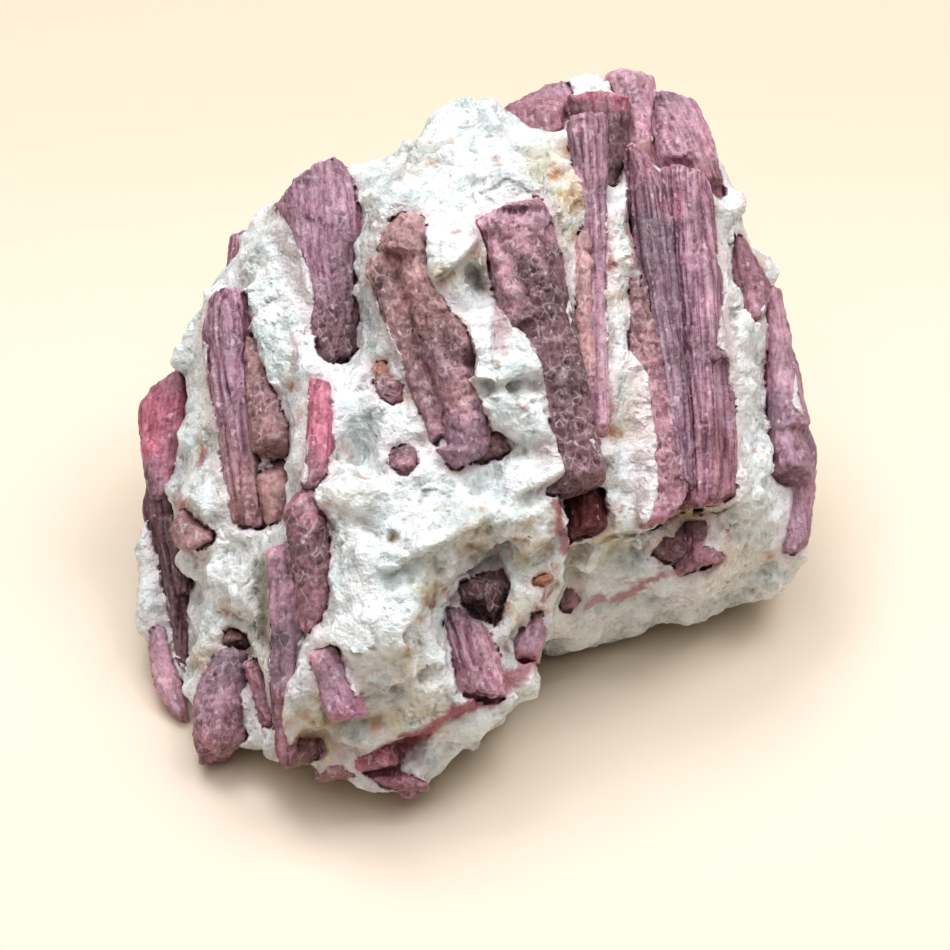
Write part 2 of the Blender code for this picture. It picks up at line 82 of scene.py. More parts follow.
# Each crystal: its tint at the top, in the middle and at the foot, how ribbed it is,
# and how pebbly it is at the top and at the foot
CRYSTALS = {
    "far_left": ("rose", "red", "mauve", 0.5, 0.5, 0.2),
    "far_left_low": ("plum", "plum", "plum", 0.8, 0.1, 0.2),
    "left_strip": ("mauve", "rose", "rose", 0.8, 0.1, 0.3),
    "left_long": ("mauve", "mauve", "salmon", 1.0, 0.1, 0.5),
    "left_brown": ("brown", "brown", "brown", 0.2, 0.8, 1.0),
    "left_foot": ("plum", "salmon", "salmon", 0.2, 0.5, 0.7),
    "upper_left": ("mauve", "mauve", "plum", 0.8, 0.3, 0.6),
    "thin_red": ("red", "red", "rose", 0.6, 0.4, 0.4),
    "pair_right": ("rose", "plum", "rose", 0.2, 0.9, 0.9),
    "pair_left": ("pink", "violet", "rose", 0.6, 0.5, 0.7),
    "foot_patch": ("rose", "rose", "brown", 0.3, 0.9, 0.9),
    "low_left": ("violet", "mauve", "rose", 0.3, 0.8, 1.0),
    "low_left_stub": ("rust", "brown", "dark", 0.2, 1.0, 1.0),
    "low_sliver": ("rose", "rose", "rose", 0.4, 0.6, 0.8),
    "rim_left": ("mauve", "pink", "pink", 0.4, 0.4, 0.4),
    "left_lump": ("brown", "brown", "salmon", 0.1, 0.9, 0.8),
    "centre": ("salmon", "brown", "mauve", 0.2, 1.0, 0.6),
    "centre_small": ("rose", "salmon", "brown", 0.2, 0.9, 1.0),
    "centre_right": ("pink", "plum", "plum", 0.3, 0.9, 0.9),
    "recess_red": ("garnet", "garnet", "garnet", 0.5, 0.2, 0.2),
    "long_thin": ("pink", "mauve", "pink", 0.9, 0.2, 0.3),
    "long_brown": ("salmon", "salmon", "brown", 0.3, 0.8, 1.0),
    "right_dark": ("rose", "violet", "mauve", 1.0, 0.1, 0.4),
    "right_grainy": ("brown", "rose", "rose", 0.1, 1.0, 1.0),
    "right_big": ("pink", "mauve", "rose", 1.0, 0.1, 0.2),
    "back_right": ("mauve", "pink", "rose", 0.6, 0.3, 0.3),
    "edge_inner": ("rose", "rose", "pink", 0.4, 0.3, 0.4),
    "edge_outer": ("pink", "mauve", "mauve", 0.4, 0.3, 0.4),
    "top_red": ("red", "plum", "plum", 0.5, 0.3, 0.5),
    "top_left": ("mauve", "rose", "rose", 0.4, 0.4, 0.4),
    "top_pink": ("pink", "pink", "salmon", 0.4, 0.3, 0.5),
    "lobe_fan": ("violet", "pink", "pink", 1.0, 0.2, 0.5),
    "lobe_dark": ("garnet", "plum", "dark", 0.1, 1.0, 1.0),
    "lobe_edge": ("plum", "mauve", "rose", 0.2, 0.8, 0.8),
    "lobe_spot": ("rust", "rust", "rust", 0.1, 0.8, 0.8),
    "stub": ("pink", "mauve", "magenta", 0.3, 0.3, 0.5),
    "button": ("rose", "plum", "rose", 0.1, 1.0, 1.0),
    "small_brown": ("rust", "brown", "rose", 0.1, 1.0, 1.0),
    "under_right": ("plum", "plum", "rose", 0.4, 0.6, 0.6),
    "under_middle": ("plum", "plum", "plum", 0.4, 0.6, 0.6),
    "under_small": ("rose", "rose", "rose", 0.4, 0.6, 0.6),
    "front_red": ("red", "red", "rose", 0.2, 0.9, 0.9),
    "front_left_red": ("rose", "rose", "brown", 0.2, 0.9, 0.9),
    "back_upper": ("mauve", "mauve", "pink", 0.9, 0.2, 0.4),
    "back_middle": ("pink", "pink", "rose", 0.8, 0.3, 0.5),
    "back_thin": ("red", "red", "rose", 0.7, 0.3, 0.5),
    "back_low": ("pink", "mauve", "mauve", 0.8, 0.4, 0.4),
    "back_corner": ("plum", "plum", "mauve", 0.9, 0.2, 0.5),
    "right_low": ("pink", "pink", "rose", 0.6, 0.4, 0.5),
    "left_back": ("mauve", "mauve", "rose", 0.8, 0.3, 0.5),
}

# The edges of the crystals on the broad face, as the eye sees them, in mm:
# how far up, and how far across on the left and on the right, from the top to the foot
EDGES = {
    "far_left": (
        (11, -29.6, -29.0), (10, -30.6, -29), (9, -31.9, -28.8), (8, -32.8, -28.7),
        (7, -33.3, -28.7), (6, -33.2, -29), (5, -33, -29), (4, -33.2, -29.4),
        (3.3, -33.2, -29.8), (2, -33, -30.1), (0, -32.6, -30.4), (-1.5, -32.2, -30.5),
        (-3.2, -32.4, -30.4),
    ),
    "far_left_low": (
        (0.5, -32.4, -30.4), (-1.5, -32.3, -30.5), (-3.7, -32.9, -30.4), (-5, -32.5, -30.2),
        (-7, -31.9, -29), (-9, -31.5, -28.1), (-10, -31.3, -28.2), (-11, -31, -28.4),
        (-12, -30.8, -29), (-13.5, -30.5, -29.1), (-15, -30.1, -29), (-17, -29.6, -28.8),
        (-20, -29.3, -28.9),
    ),
    "left_strip": (
        (24.8, -23.3, -22.6), (24.2, -24.2, -22.8), (23, -24.4, -23.3), (21.5, -24.2, -23.2),
        (20, -24, -23.2), (18.5, -24.6, -23), (17, -25, -22.8),
    ),
    "left_long": (
        (19.1, -25.3, -24.3), (18, -26, -23), (17, -26.4, -22.7), (16, -26.8, -22.6),
        (15, -27.1, -22.7), (14, -27, -22.9), (13, -26.5, -22.9), (11, -26.4, -22.8),
        (9, -26.4, -22.5), (7, -25.8, -22.5), (5, -25.3, -22.3), (3, -25.3, -22.2),
        (1, -25, -22), (0, -24.9, -21.9), (-1, -24.8, -21.5), (-2, -24.3, -21.1),
        (-3, -24.4, -21), (-4, -24.3, -20.9), (-5, -24, -20.9), (-5.9, -22.8, -21.5),
    ),
    "left_brown": (
        (14, -23, -22.4), (13, -22.9, -22), (12, -22.8, -22), (11, -22.7, -21.5),
        (10, -22.6, -20.8), (9, -22.5, -20.4), (8, -22.4, -20), (7, -22.5, -19.6),
        (6, -22.4, -19.2), (5, -22.4, -18.8), (4, -22.3, -18.7), (3, -22.2, -18.8),
        (2, -22, -18.9), (1.3, -21.7, -19.3),
    ),
    "left_foot": (
        (1.8, -19.1, -18.6), (1, -19.8, -18.6), (0, -21.8, -18.5), (-1, -21.5, -18.3),
        (-2, -21.1, -18.2), (-3, -21, -18.7), (-4, -20.9, -19), (-5, -20.8, -19.2),
    ),
    "upper_left": (
        (32.1, -14.9, -13.9), (31.5, -15.6, -13.4), (31, -16.2, -13.2), (30, -17.8, -12.5),
        (29, -18.4, -12), (28, -19, -12.1), (27, -19.7, -11.8), (26, -19.1, -11.4),
        (25, -18.2, -11.3), (24, -18, -11.3), (23, -17.4, -11), (22, -17.1, -11.1),
        (21, -16.6, -11), (20, -16.2, -11.6), (19, -15.9, -12.4), (18, -15.7, -12.6),
        (17, -15.8, -11.9), (15.5, -16, -11.8), (14, -16.1, -12), (12.5, -15.9, -11.9),
        (11.2, -15.4, -12.6), (10, -15.2, -13.4),
    ),
    "thin_red": (
        (9.9, -15.9, -14.9), (9.3, -16.4, -14.7), (8, -16.4, -14.6), (6, -16.4, -14.5),
        (4, -16.5, -14.6), (2.8, -16.4, -14.1), (2, -16.5, -14.8), (0, -16.5, -15),
        (-1, -16.8, -15.6), (-1.6, -17.2, -16.2),
    ),
    "pair_right": (
        (-1.2, -17.2, -15.9), (-2, -17.9, -16.4), (-3, -18.8, -16.1), (-4, -18.7, -15.1),
        (-5, -18.4, -14.8), (-7, -18.1, -14.7), (-9, -17.9, -14.8), (-10, -17.7, -14.9),
        (-11, -17.6, -15), (-12, -17.4, -14.9), (-13, -17.2, -14.8), (-14, -17.1, -15.3),
        (-15, -17, -15.9), (-16, -17.1, -16.6),
    ),
    "pair_left": (
        (-6.7, -19.2, -18.5), (-7.2, -20.4, -18.3), (-8, -20.6, -18.3), (-10, -20.5, -18),
        (-12, -20.4, -17.6), (-14, -20.2, -17.2), (-15, -20.2, -17.1), (-16, -20.1, -17.4),
        (-17, -20.1, -17.9), (-18, -20.2, -17.8), (-19, -20.2, -18.2), (-20, -20.1, -18.4),
        (-21, -20.2, -19.1), (-22, -20.3, -19.2), (-23, -20.1, -19.4), (-24, -20, -19.6),
        (-26, -19.9, -19.4), (-27.5, -19.8, -19), (-29.3, -19.2, -18.2),
    ),
    "foot_patch": (
        (-22, -19, -16), (-26.6, -17.6, -15.4), (-27.5, -18.5, -15), (-28, -18.8, -15.1),
        (-28.5, -19.2, -15.9), (-29, -19.3, -17.2), (-29.5, -19, -18.2),
    ),
    "low_left": (
        (-17.2, -24.8, -23.4), (-18, -25.8, -22.9), (-19, -26.6, -22.8), (-20, -27.2, -22.7),
        (-21, -27.5, -23), (-22, -27.8, -23.9), (-23, -28, -23.6), (-24, -28, -23.5),
        (-25, -28, -23.4), (-26, -28, -23.2), (-26.8, -27.9, -23.3), (-27.5, -27.6, -24.5),
        (-28.2, -27.2, -25.2), (-29.1, -27.2, -25),
    ),
    "low_left_stub": (
        (-15.2, -24.6, -23.6), (-16, -24.9, -23.2), (-16.8, -24.8, -22.8), (-17.4, -24.5, -22.3),
    ),
    "low_sliver": (
        (-18, -22.6, -21.9), (-19, -22.9, -21.7), (-20, -22.5, -21.3), (-21, -22.3, -21.2),
        (-22, -22, -21.1), (-23, -21.7, -20.9), (-24, -21.5, -20.3), (-25, -21.2, -20),
        (-25.8, -20.9, -19.9),
    ),
    "rim_left": (
        (-15, -32.1, -31.2), (-16, -32.3, -31.1), (-17, -32.4, -30.9), (-18, -32.4, -30.6),
        (-19, -32.3, -30.3), (-20, -32.1, -30), (-21, -31.9, -29.6), (-22, -31.6, -29.3),
        (-23, -30.6, -29), (-24, -29.7, -28.9), (-25, -29.3, -28.8),
    ),
    "left_lump": (
        (-3.4, -29.3, -28.8), (-4.2, -29.6, -28.2), (-5, -29.9, -27), (-5.6, -30, -26.3),
        (-6.5, -29.9, -26.2), (-7.3, -29.7, -26.8), (-7.9, -29.2, -27.8),
    ),
    "centre": (
        (26.4, -6.9, -6.1), (26, -7.8, -5.4), (25, -8.6, -5.1), (24, -9.2, -5.2),
        (23, -9.1, -5), (22.5, -9.8, -5.1), (22, -10.2, -5.1), (21, -10.6, -5),
        (20, -10.7, -4.8), (19, -10.2, -4.4), (18, -9.8, -4), (17, -9.4, -3.3),
        (16, -9, -2.2), (15, -8.5, -1.3), (14, -8.1, -0.8), (13, -7.6, -0.4),
        (12, -7.2, -0.1), (11.2, -6.9, -0.2), (10.3, -6.7, 0.1), (9.5, -6.5, -0.9),
        (9, -6.4, -0.5), (8, -6, 0), (7, -5.7, 0.3), (6, -5.2, 0.6), (5, -4.9, 1),
        (4, -4.5, 1.3), (3, -4.1, 1.5), (2, -3.2, 0.9), (1, -2.7, 0), (0.5, -2, -0.6),
    ),
    "centre_small": (
        (5.7, 0.9, 1.6), (5, 1.1, 2.4), (4, 1.4, 3), (3, 1.5, 3.3), (2.4, 1.2, 3.5),
        (1.5, 0.5, 2.6), (0.8, -0.1, 1.2),
    ),
    "centre_right": (
        (27.9, 5.4, 6.3), (27.4, 3.4, 6.7), (27, 2.6, 6.9), (26.3, 2, 7.1), (25.8, 0.6, 7.3),
        (25, 0.4, 7.5), (24, 0.9, 7.8), (23, 1.1, 8), (22, 1.3, 8.3), (21, 1.5, 8.5),
        (19, 1.8, 8.8), (18, 2, 8.9), (17, 2.3, 8.8), (16, 3.2, 8.9), (15, 3.9, 9.2),
        (14.2, 5.2, 9.4), (13, 5.9, 9.8), (12, 6.4, 10), (11, 6.8, 10.1), (9, 7.2, 10.2),
        (7, 7.6, 10.4), (5, 7.7, 10.7), (4, 8.3, 10.9), (3, 8.6, 11.3), (2, 9, 11.9),
        (1, 9.4, 12.5), (0.3, 9.6, 12.8), (-0.5, 8.5, 12.7), (-1.2, 7.5, 12.4),
        (-2, 7.2, 11.2), (-2.8, 8, 9.5),
    ),
    "recess_red": (
        (3, 9.6, 12.6), (-1, 9.2, 12.8), (-3, 9.2, 12.9), (-5, 9.4, 13.1), (-5.6, 9.5, 12.8),
        (-6.9, 9.6, 10.4),
    ),
    "long_thin": (
        (36.6, 10.2, 12.4), (36, 9.6, 12.8), (35, 9.4, 12.9), (34, 9.8, 12.9),
        (31, 9.9, 12.8), (30, 10.5, 12.8), (29.3, 11.1, 12.8), (26.5, 11.3, 12.9),
        (24, 11.2, 12.8), (20, 11.3, 12.7), (16, 11.4, 12.8), (12, 11.6, 12.8),
        (8, 11.8, 12.9), (5, 12, 13.4), (3.8, 12.2, 13.4),
    ),
    "long_brown": (
        (24.5, 10.7, 11.2), (24, 10.3, 11.3), (22, 10.4, 11.3), (20, 10.4, 11.4),
        (18, 10.2, 11.5), (14, 10.3, 11.6), (12, 10.1, 11.7), (8.5, 10.3, 11.9),
        (7, 10.2, 11.9), (6, 10.5, 12), (5, 10.9, 12.2), (4, 11.1, 12),
    ),
    "right_dark": (
        (33.4, 15, 15.8), (32.4, 15.1, 16.4), (31.4, 15.1, 17.2), (30.4, 15.2, 18.2),
        (29, 15.4, 18.8), (27, 15.6, 19), (25, 15.6, 19.3), (23, 16, 19.6), (20, 16.9, 19.9),
        (18, 17.4, 20.2), (15, 17.9, 20.6), (12, 18.1, 20.9), (10, 18.6, 21), (8, 19.2, 21.2),
        (6, 19.8, 21.4), (4, 20.2, 21.6), (2, 20.6, 21.8), (0, 20.9, 22), (-2, 20.6, 21.8),
    ),
    "right_grainy": (
        (19.8, 15.8, 16.4), (19, 15.6, 16.8), (18, 15.5, 17.1), (16, 15.9, 17.6),
        (15, 15.5, 17.9), (13, 15.5, 18), (12.3, 15.9, 18.1), (11.5, 16.4, 18.5),
        (11, 17.2, 18.7), (10, 17.6, 18.9), (8, 17.8, 19.5), (7, 17.9, 19.9),
        (5, 18.3, 20.4), (3, 18.7, 20.8), (2, 18.5, 20.9), (0, 18.6, 21.3),
        (-1, 18.8, 21.2), (-2, 18.7, 21), (-3, 18.4, 20.7), (-4, 18, 19.6),
        (-5, 17.4, 18.4), (-5.4, 16.8, 17.6),
    ),
    "right_big": (
        (31.2, 19, 22.6), (30.5, 18.7, 22.9), (29, 18.9, 23.3), (27, 19.2, 23.7),
        (25, 19.5, 23.8), (23, 19.8, 23.8), (21, 20, 24.1), (19, 20.2, 24.6),
        (17, 20.5, 24.5), (15, 20.7, 24.2), (13, 21, 23.9), (12, 21.1, 24.8), (11, 21.2, 25),
        (9, 21.3, 25.3), (7, 21.5, 25.8), (5, 21.7, 25.9), (3, 21.9, 26), (1, 22.1, 26),
        (-1, 21.9, 26), (-2, 21.2, 25.8), (-2.8, 20.8, 25.3), (-3.3, 20.9, 22.5),
    ),
    "back_right": (
        (38.7, 19, 20), (38.3, 18.4, 20.8), (37.5, 18.1, 21.7), (36.5, 18, 22.3),
        (35, 17.7, 23), (33, 17.8, 23.7), (32, 18, 23.9), (31, 18.3, 24.2), (30, 18.8, 24.4),
        (29, 22, 24.7), (28, 23.6, 25), (27.3, 24.4, 25.1),
    ),
    "edge_inner": (
        (24.2, 26.2, 26.7), (23.5, 26.2, 27), (22.5, 26, 27.6), (21.5, 25.9, 28),
        (20.5, 25.8, 28.6), (19.5, 26, 29.2), (18.5, 26.5, 29.4), (17.5, 26.8, 28.6),
        (16.5, 27, 28.3), (15, 27.3, 28.5),
    ),
    "edge_outer": (
        (19, 29.4, 30), (18, 29.2, 30.5), (17, 29.3, 30.6), (16, 29.4, 30.7),
        (14, 29.6, 31), (12, 29.4, 31.3), (10, 29.2, 31.6), (9, 29.3, 31.6), (7.4, 29.4, 31.4),
        (6, 29.3, 32.4), (5, 29.6, 33), (4, 29.4, 33.4), (3, 29.5, 33.8), (2, 29.7, 34),
        (1, 29.6, 33.5), (0, 29.8, 33.4), (-0.8, 30.3, 33.5), (-1.2, 32.1, 33.5),
        (-3, 32, 33.6), (-5, 31.6, 33.4), (-6, 31.3, 33.3), (-7, 31.1, 33), (-7.9, 30.8, 32.3),
    ),
    "top_red": (
        (38.6, 9.8, 15), (38, 9.3, 15.4), (37, 9.2, 15.4), (36.5, 9.1, 15.2), (36, 12.4, 15.1),
        (35, 12.7, 15), (33, 12.8, 15.1), (31, 12.8, 15), (30, 12.8, 14.3), (28, 12.8, 13.3),
    ),
    "top_left": (
        (39.7, 8.2, 8.8), (39.3, 7.4, 9.1), (38.7, 6.5, 9.4), (38, 5.5, 9.5),
        (37.5, 4.2, 9.4), (37, 3.4, 9.3), (36.4, 2.9, 9.2), (36, 4, 9), (32, 5.2, 9.8),
    ),
    "top_pink": (
        (40.8, 15, 16.4), (40.6, 13.8, 16.9), (40, 13.2, 17.5), (39, 13.3, 17.8),
        (38.3, 14, 17.9), (37, 15.2, 18.1), (35, 15, 18.1), (33, 15.2, 18.2),
        (31, 15.6, 18.2), (30, 16.4, 18.4),
    ),
    "lobe_fan": (
        (-12.8, -2.6, -2), (-13.5, -2.7, -1), (-14.5, -2.7, 0.3), (-15, -2.8, 1),
        (-16, -2.5, 1.5), (-17, -2.3, 1.9), (-18, -2.1, 2.3), (-19, -2, 2.4),
        (-20, -1.8, 2.5), (-21, -1.6, 2.7), (-21.7, -1.3, 2.8), (-22.4, -0.9, 2.8),
        (-23, -0.3, 2.2),
    ),
    "lobe_dark": (
        (-9, 1.9, 2.6), (-9.5, 1.2, 2.7), (-10, 0.4, 2.8), (-10.5, -1.2, 3), (-11, -1.5, 3.4),
        (-12, -1.3, 3), (-13, -1, 2.7), (-14, -0.3, 2.6), (-14.7, 0.6, 2.2), (-15.4, 1.2, 1.9),
    ),
    "lobe_edge": (
        (-13.3, 6.1, 6.4), (-14, 6, 6.6), (-15, 5.6, 6.7), (-15.6, 4.6, 6.7),
        (-16.5, 4.2, 6.8), (-17.3, 4.1, 6.7), (-18, 4.2, 6.4), (-18.6, 4.2, 6.1),
        (-19.3, 4.6, 5.2),
    ),
    "lobe_spot": ((-9.9, 6.2, 7.9), (-10.5, 5.8, 7.8), (-11.2, 5.9, 7.3)),
    "stub": (
        (-16.9, -15.2, -13.9), (-17.3, -15.9, -13.5), (-18, -16.3, -13.5), (-19, -16.1, -13.5),
        (-20, -15.7, -13.3), (-21, -15.4, -12.9), (-22, -15.2, -12.3), (-22.4, -15.1, -11.4),
        (-23, -15, -11.2), (-24, -14.8, -11.1), (-24.6, -14.5, -12.8), (-24.9, -14.1, -13.4),
    ),
    "button": (
        (3, -7.4, -6.6), (2.7, -8.2, -6.1), (2, -8.4, -6), (1, -8.3, -6.1), (0.3, -7.8, -6.5),
        (-0.4, -7.4, -6.7),
    ),
    "small_brown": (
        (11.3, -9.9, -9), (10, -9.7, -8.8), (9.5, -9.8, -8.2), (9, -10, -7.2),
        (8.3, -9.5, -7.4), (7.5, -9, -7.5), (6.9, -8.3, -7.7),
    ),
    "under_right": (
        (4, 19.5, 23.5), (-4.8, 20.9, 23), (-6, 20.2, 22.6), (-7, 20, 22.3), (-8, 20.5, 24.6),
        (-8.6, 20.8, 25), (-9.4, 20.4, 23.5), (-10.2, 20.3, 22.6),
    ),
    "under_middle": (
        (4, 17, 20), (-6.5, 19, 20.6), (-7.2, 18.2, 20.9), (-8, 17.8, 20.8),
        (-8.6, 18.2, 20.4), (-9.3, 19.2, 20.5),
    ),
    "under_small": (
        (0, 8, 10), (-11.6, 9.2, 9.6), (-12, 9, 10), (-12.8, 8.5, 10.3), (-13.3, 8.6, 10),
        (-13.9, 9.2, 9.7),
    ),
    "front_red": (
        (-22, -12.2, -8.4), (-27.2, -8.9, -7.2), (-28.3, -11.2, -7.2), (-29, -11.9, -7.6),
        (-29.6, -11.5, -7.9), (-30.2, -10.3, -6.4), (-30.8, -9.4, -5), (-31.5, -9, -4.9),
        (-32, -8.3, -5.2), (-32.4, -6.6, -5.6),
    ),
    "front_left_red": (
        (-24, -15.4, -13), (-29.4, -14.7, -13.5), (-30, -15.2, -12.4), (-30.5, -15.8, -13),
        (-31.2, -15.2, -14.2),
    ),
}

# Plates of albite that stand on the broad face: across, up and height at each corner, in mm
PLATE_DEPTH = 1.5
PLATES = (
    # the lobe's upper shelf, its broad slab, and the lip below
    ((-14.5, -9.5, 0.2), (-9.5, -6.5, 0.6), (-5, -5, 1.0), (-2.5, -2.6, 1.3), (0, -2, 1.4),
     (1.6, -3.5, 1.6), (0.2, -5.2, 2.0), (-3, -6.8, 1.6), (-6.5, -8, 1.2), (-12, -11, 0.4)),
    ((0.8, -3.2, 1.2), (4.5, -3.6, 0.8), (7.5, -2.8, 0.8), (7.2, -3.8, 0.9), (4.5, -4.9, 1.2),
     (1.8, -5.2, 1.5)),
    ((-16.5, -16.5, 0.6), (-12.5, -13.6, 0.9), (-5.6, -10.6, 0.9), (-4.4, -11.6, 0.9),
     (-6, -14.8, 1.2), (-8, -16.4, 1.6), (-12.2, -18.5, 1.6)),
    ((-12.2, -17.8, 1.4), (-8, -16.4, 1.6), (-6.2, -17.2, 1.7), (-6, -20, 1.5),
     (-9.5, -21.6, 1.6), (-12, -21.8, 1.4)),
    ((-18.8, -21, 0.8), (-17, -18.5, 0.6), (-15.6, -22, 0.9), (-14.8, -25.3, 1.2),
     (-18.5, -26, 1.1), (-19.4, -24.3, 0.9)),
    ((-11.6, -22.6, 0.9), (-7.5, -22, 0.8), (-2, -22, 0.7), (0, -23, 0.8), (-4, -25, 1.1),
     (-10.5, -27.2, 1.0), (-14, -26.6, 1.0)),
    # the blades of the cavity's right wall
    ((3, -10.4, 1.0), (4.6, -10.8, 1.2), (4.3, -14, 1.3), (3.2, -17, 1.0), (2.4, -16.6, 0.6)),
    ((4.9, -11.6, 0.9), (6.2, -11.4, 0.7), (5.4, -14.4, 0.9), (4.4, -15.2, 1.0)),
    # broken blocks between the two middle crystals
    ((-4.8, 25.2, 1.0), (-0.8, 25.4, 0.9), (0.6, 23.5, 1.2), (-0.6, 22.4, 1.8),
     (-2.4, 20.6, 2.2), (-4.3, 19.4, 1.6), (-4.9, 22.5, 1.4)),
    ((-1.2, 16.3, 0.8), (1.9, 16.8, 0.8), (2.3, 15.4, 1.2), (1.4, 12.8, 1.2),
     (-0.2, 12.6, 1.0)),
    ((0.2, 11.4, 1.2), (3, 13.4, 1.2), (4.6, 14.4, 1.4), (6.4, 13.6, 1.2), (6.8, 10.4, 1.5),
     (4.6, 9.8, 2.0), (2.6, 9.2, 2.2), (-0.4, 9.6, 1.8)),
    ((0, 7.4, 1.4), (2, 8.2, 1.6), (4, 7.2, 1.8), (7.6, 8, 1.0), (8.2, 4.6, 1.2),
     (7.4, 3.0, 1.4), (4.2, 3.2, 1.8), (1.8, 4.8, 1.6)),
    ((2, 1.5, 0.5), (5, 2.5, 0.6), (7.6, 2.4, 0.8), (9.3, 1, 1.0), (8.8, 0, 1.2),
     (6.6, -1, 1.2), (3.6, -2.4, 0.6)),
)

# Hollows and grooves in the broad face: where each starts and ends, across and up,
# how wide it is, and how far it sinks, in mm
DENTS = (
    ((0, 20.3), (0.4, 18.8), 1.8, -2.2),
    ((-8.4, -5.8), (-7.8, -6.9), 0.5, -1.8),
    ((-4.2, -8.8), (-3.4, -9.3), 1.6, -1.4),
    ((-1.5, -7.2), (1.5, -8), 1.8, -1.2),
    ((3.8, 9), (6.8, 8.6), 0.9, -1.3),
    ((-5.9, -16.6), (-5.4, -17.2), 0.7, -1.2),
    ((-5.4, -20.6), (-4.2, -21), 0.9, -0.8),
    ((2.4, -17), (3.2, -17.2), 0.6, -1.0),
    ((-21.5, -9), (-20.8, -16.5), 1.6, -2.0),
    ((-12, -4.6), (-7, -7.2), 0.8, -0.7),
    ((-14.4, -5), (-13, -14), 0.9, -0.6),
    ((2.4, -6.4), (1.6, -8.8), 0.7, -0.7),
)

# The edge of the ledge over the shaded underside, across and up, in mm
LEDGE = ((9.6, -7), (13, -5.8), (17.4, -5.4), (20.7, -3.6), (24.5, -3.2), (26, -2.7))

# Stains on the albite: across, up, how wide, in mm, and how strong
# Some creamy spots below lie under ledges and overhangs, where they are painted shade; the rest
# are stains.
CREAM_STAINS_AND_SHADE = (
    (7.5, 31, 4, 0.7), (9.5, 28, 3, 0.8), (10, 24, 3, 0.5), (-14.5, -22.5, 4, 0.4),
    (-16, -26, 4, 0.9), (-9, -24.5, 4, 0.6), (-4.5, -23, 4, 0.5), (-4.5, -11.5, 2.5, 0.7),
    (13.5, 5, 3, 0.5), (13.5, -6.5, 3, 0.6), (22, -4, 3, 0.6), (5, -8, 3, 0.6),
    (-27, -18, 3, 0.5), (3.5, -14, 3, 0.4), (0, -6.5, 2.5, 0.8), (-7, -18.5, 2.5, 0.7),
    (-19, -16, 1.5, 0.4), (14, 18, 2.5, 0.4), (8.5, 25.5, 2, 0.5), (5.5, -5, 1.5, 0.7),
    (24.5, 14.5, 1.5, 0.6), (1, 21, 2.5, 0.5), (-3, 20, 2.5, 0.5), (25, -8, 5, 0.3),
)
RUST = (
    (8, 30.3, 1.2, 0.8), (10, 27.3, 1.4, 0.7), (-4.6, -12.8, 0.9, 0.9), (-5.4, -14.4, 0.6, 0.8),
    (-9.4, 11, 0.9, 0.8), (14, 3.9, 1.3, 0.8), (6.9, -10.6, 1.0, 0.8), (-18, 8.9, 0.9, 0.9),
    (-17.6, 6, 0.6, 0.7), (-6.4, -17.4, 0.7, 0.7), (-9.5, -24.8, 1.4, 0.7), (9.3, 32.6, 0.7, 0.5),
    (13.6, 21, 0.8, 0.6), (15.3, 24.2, 0.6, 0.5), (-29.2, -3, 1.0, 0.6), (-21.4, -7.7, 0.5, 0.8),
    (0.8, 25.4, 0.9, 0.8), (29.3, -8.2, 0.9, 0.6), (7.3, -7.3, 1.2, 0.5), (2.4, -20.8, 1.2, 0.6),
    (-20.5, -22, 0.7, 0.5), (-8.1, -6.3, 0.7, 0.7), (24.9, 5, 0.7, 0.4),
)
# Thin seams and smears of tourmaline in the albite: each start and end, width and strength
SEAMS = (
    ((0.9, -22.6), (-2, -23.7), 0.9, 1.0), ((-2, -23.7), (-4.2, -25), 0.9, 1.0),
    ((-4.2, -25.2), (-6.6, -26.4), 1.1, 1.0), ((-6.6, -26.6), (-8.2, -27.6), 1.0, 1.0),
    ((5.6, -18.9), (3.6, -20.4), 1.4, 0.9), ((3.6, -20.4), (1.2, -22.6), 1.5, 0.9),
    ((8.2, -2.8), (8.6, -5), 0.8, 0.9), ((8.3, -5), (9, -7.3), 0.9, 0.9),
    ((6.1, -13.6), (8.1, -11), 0.35, 0.8), ((22.8, -5), (18.6, -8.4), 0.7, 0.7),
    ((18.8, -10), (15.6, -11.6), 0.55, 0.8), ((15.4, -12), (13.6, -12.7), 0.35, 0.8),
    ((12.6, -12.3), (10.9, -13.3), 0.4, 0.7), ((20, -9.6), (25, -8.3), 0.6, 0.6),
    ((-27, 2.3), (-27.7, 1.2), 0.4, 0.7), ((-18.1, 14), (-17.9, 10.6), 0.7, 0.35),
    ((-29.7, -1.6), (-29.2, -4.4), 0.6, 0.45), ((13.2, 23.8), (13.6, 21), 0.7, 0.6),
    ((13.1, 9.2), (13.3, 4.6), 0.8, 0.6), ((2.3, 17), (2.5, 12.6), 1.2, 0.4),
    ((0.2, 24.4), (0.5, 22), 0.8, 0.35), ((4.4, 7.2), (5.1, 6.8), 0.5, 0.6),
    ((-2, 24.2), (-1, 24.6), 0.25, 0.7), ((8.4, 35), (9.8, 35), 1.0, 0.5),
    ((15.3, 26.4), (16.3, 20.8), 0.6, 0.6), ((29.4, 14.5), (29, 9), 0.5, 0.5),
    ((17, -5.2), (20.6, -3.4), 0.4, 0.8), ((-19.5, -3), (-19, -5), 0.7, 0.5),
    ((-15, 0.2), (-16.8, -0.9), 0.3, 0.8), ((-28.6, -11.5), (-28.4, -13), 0.5, 0.4),
)
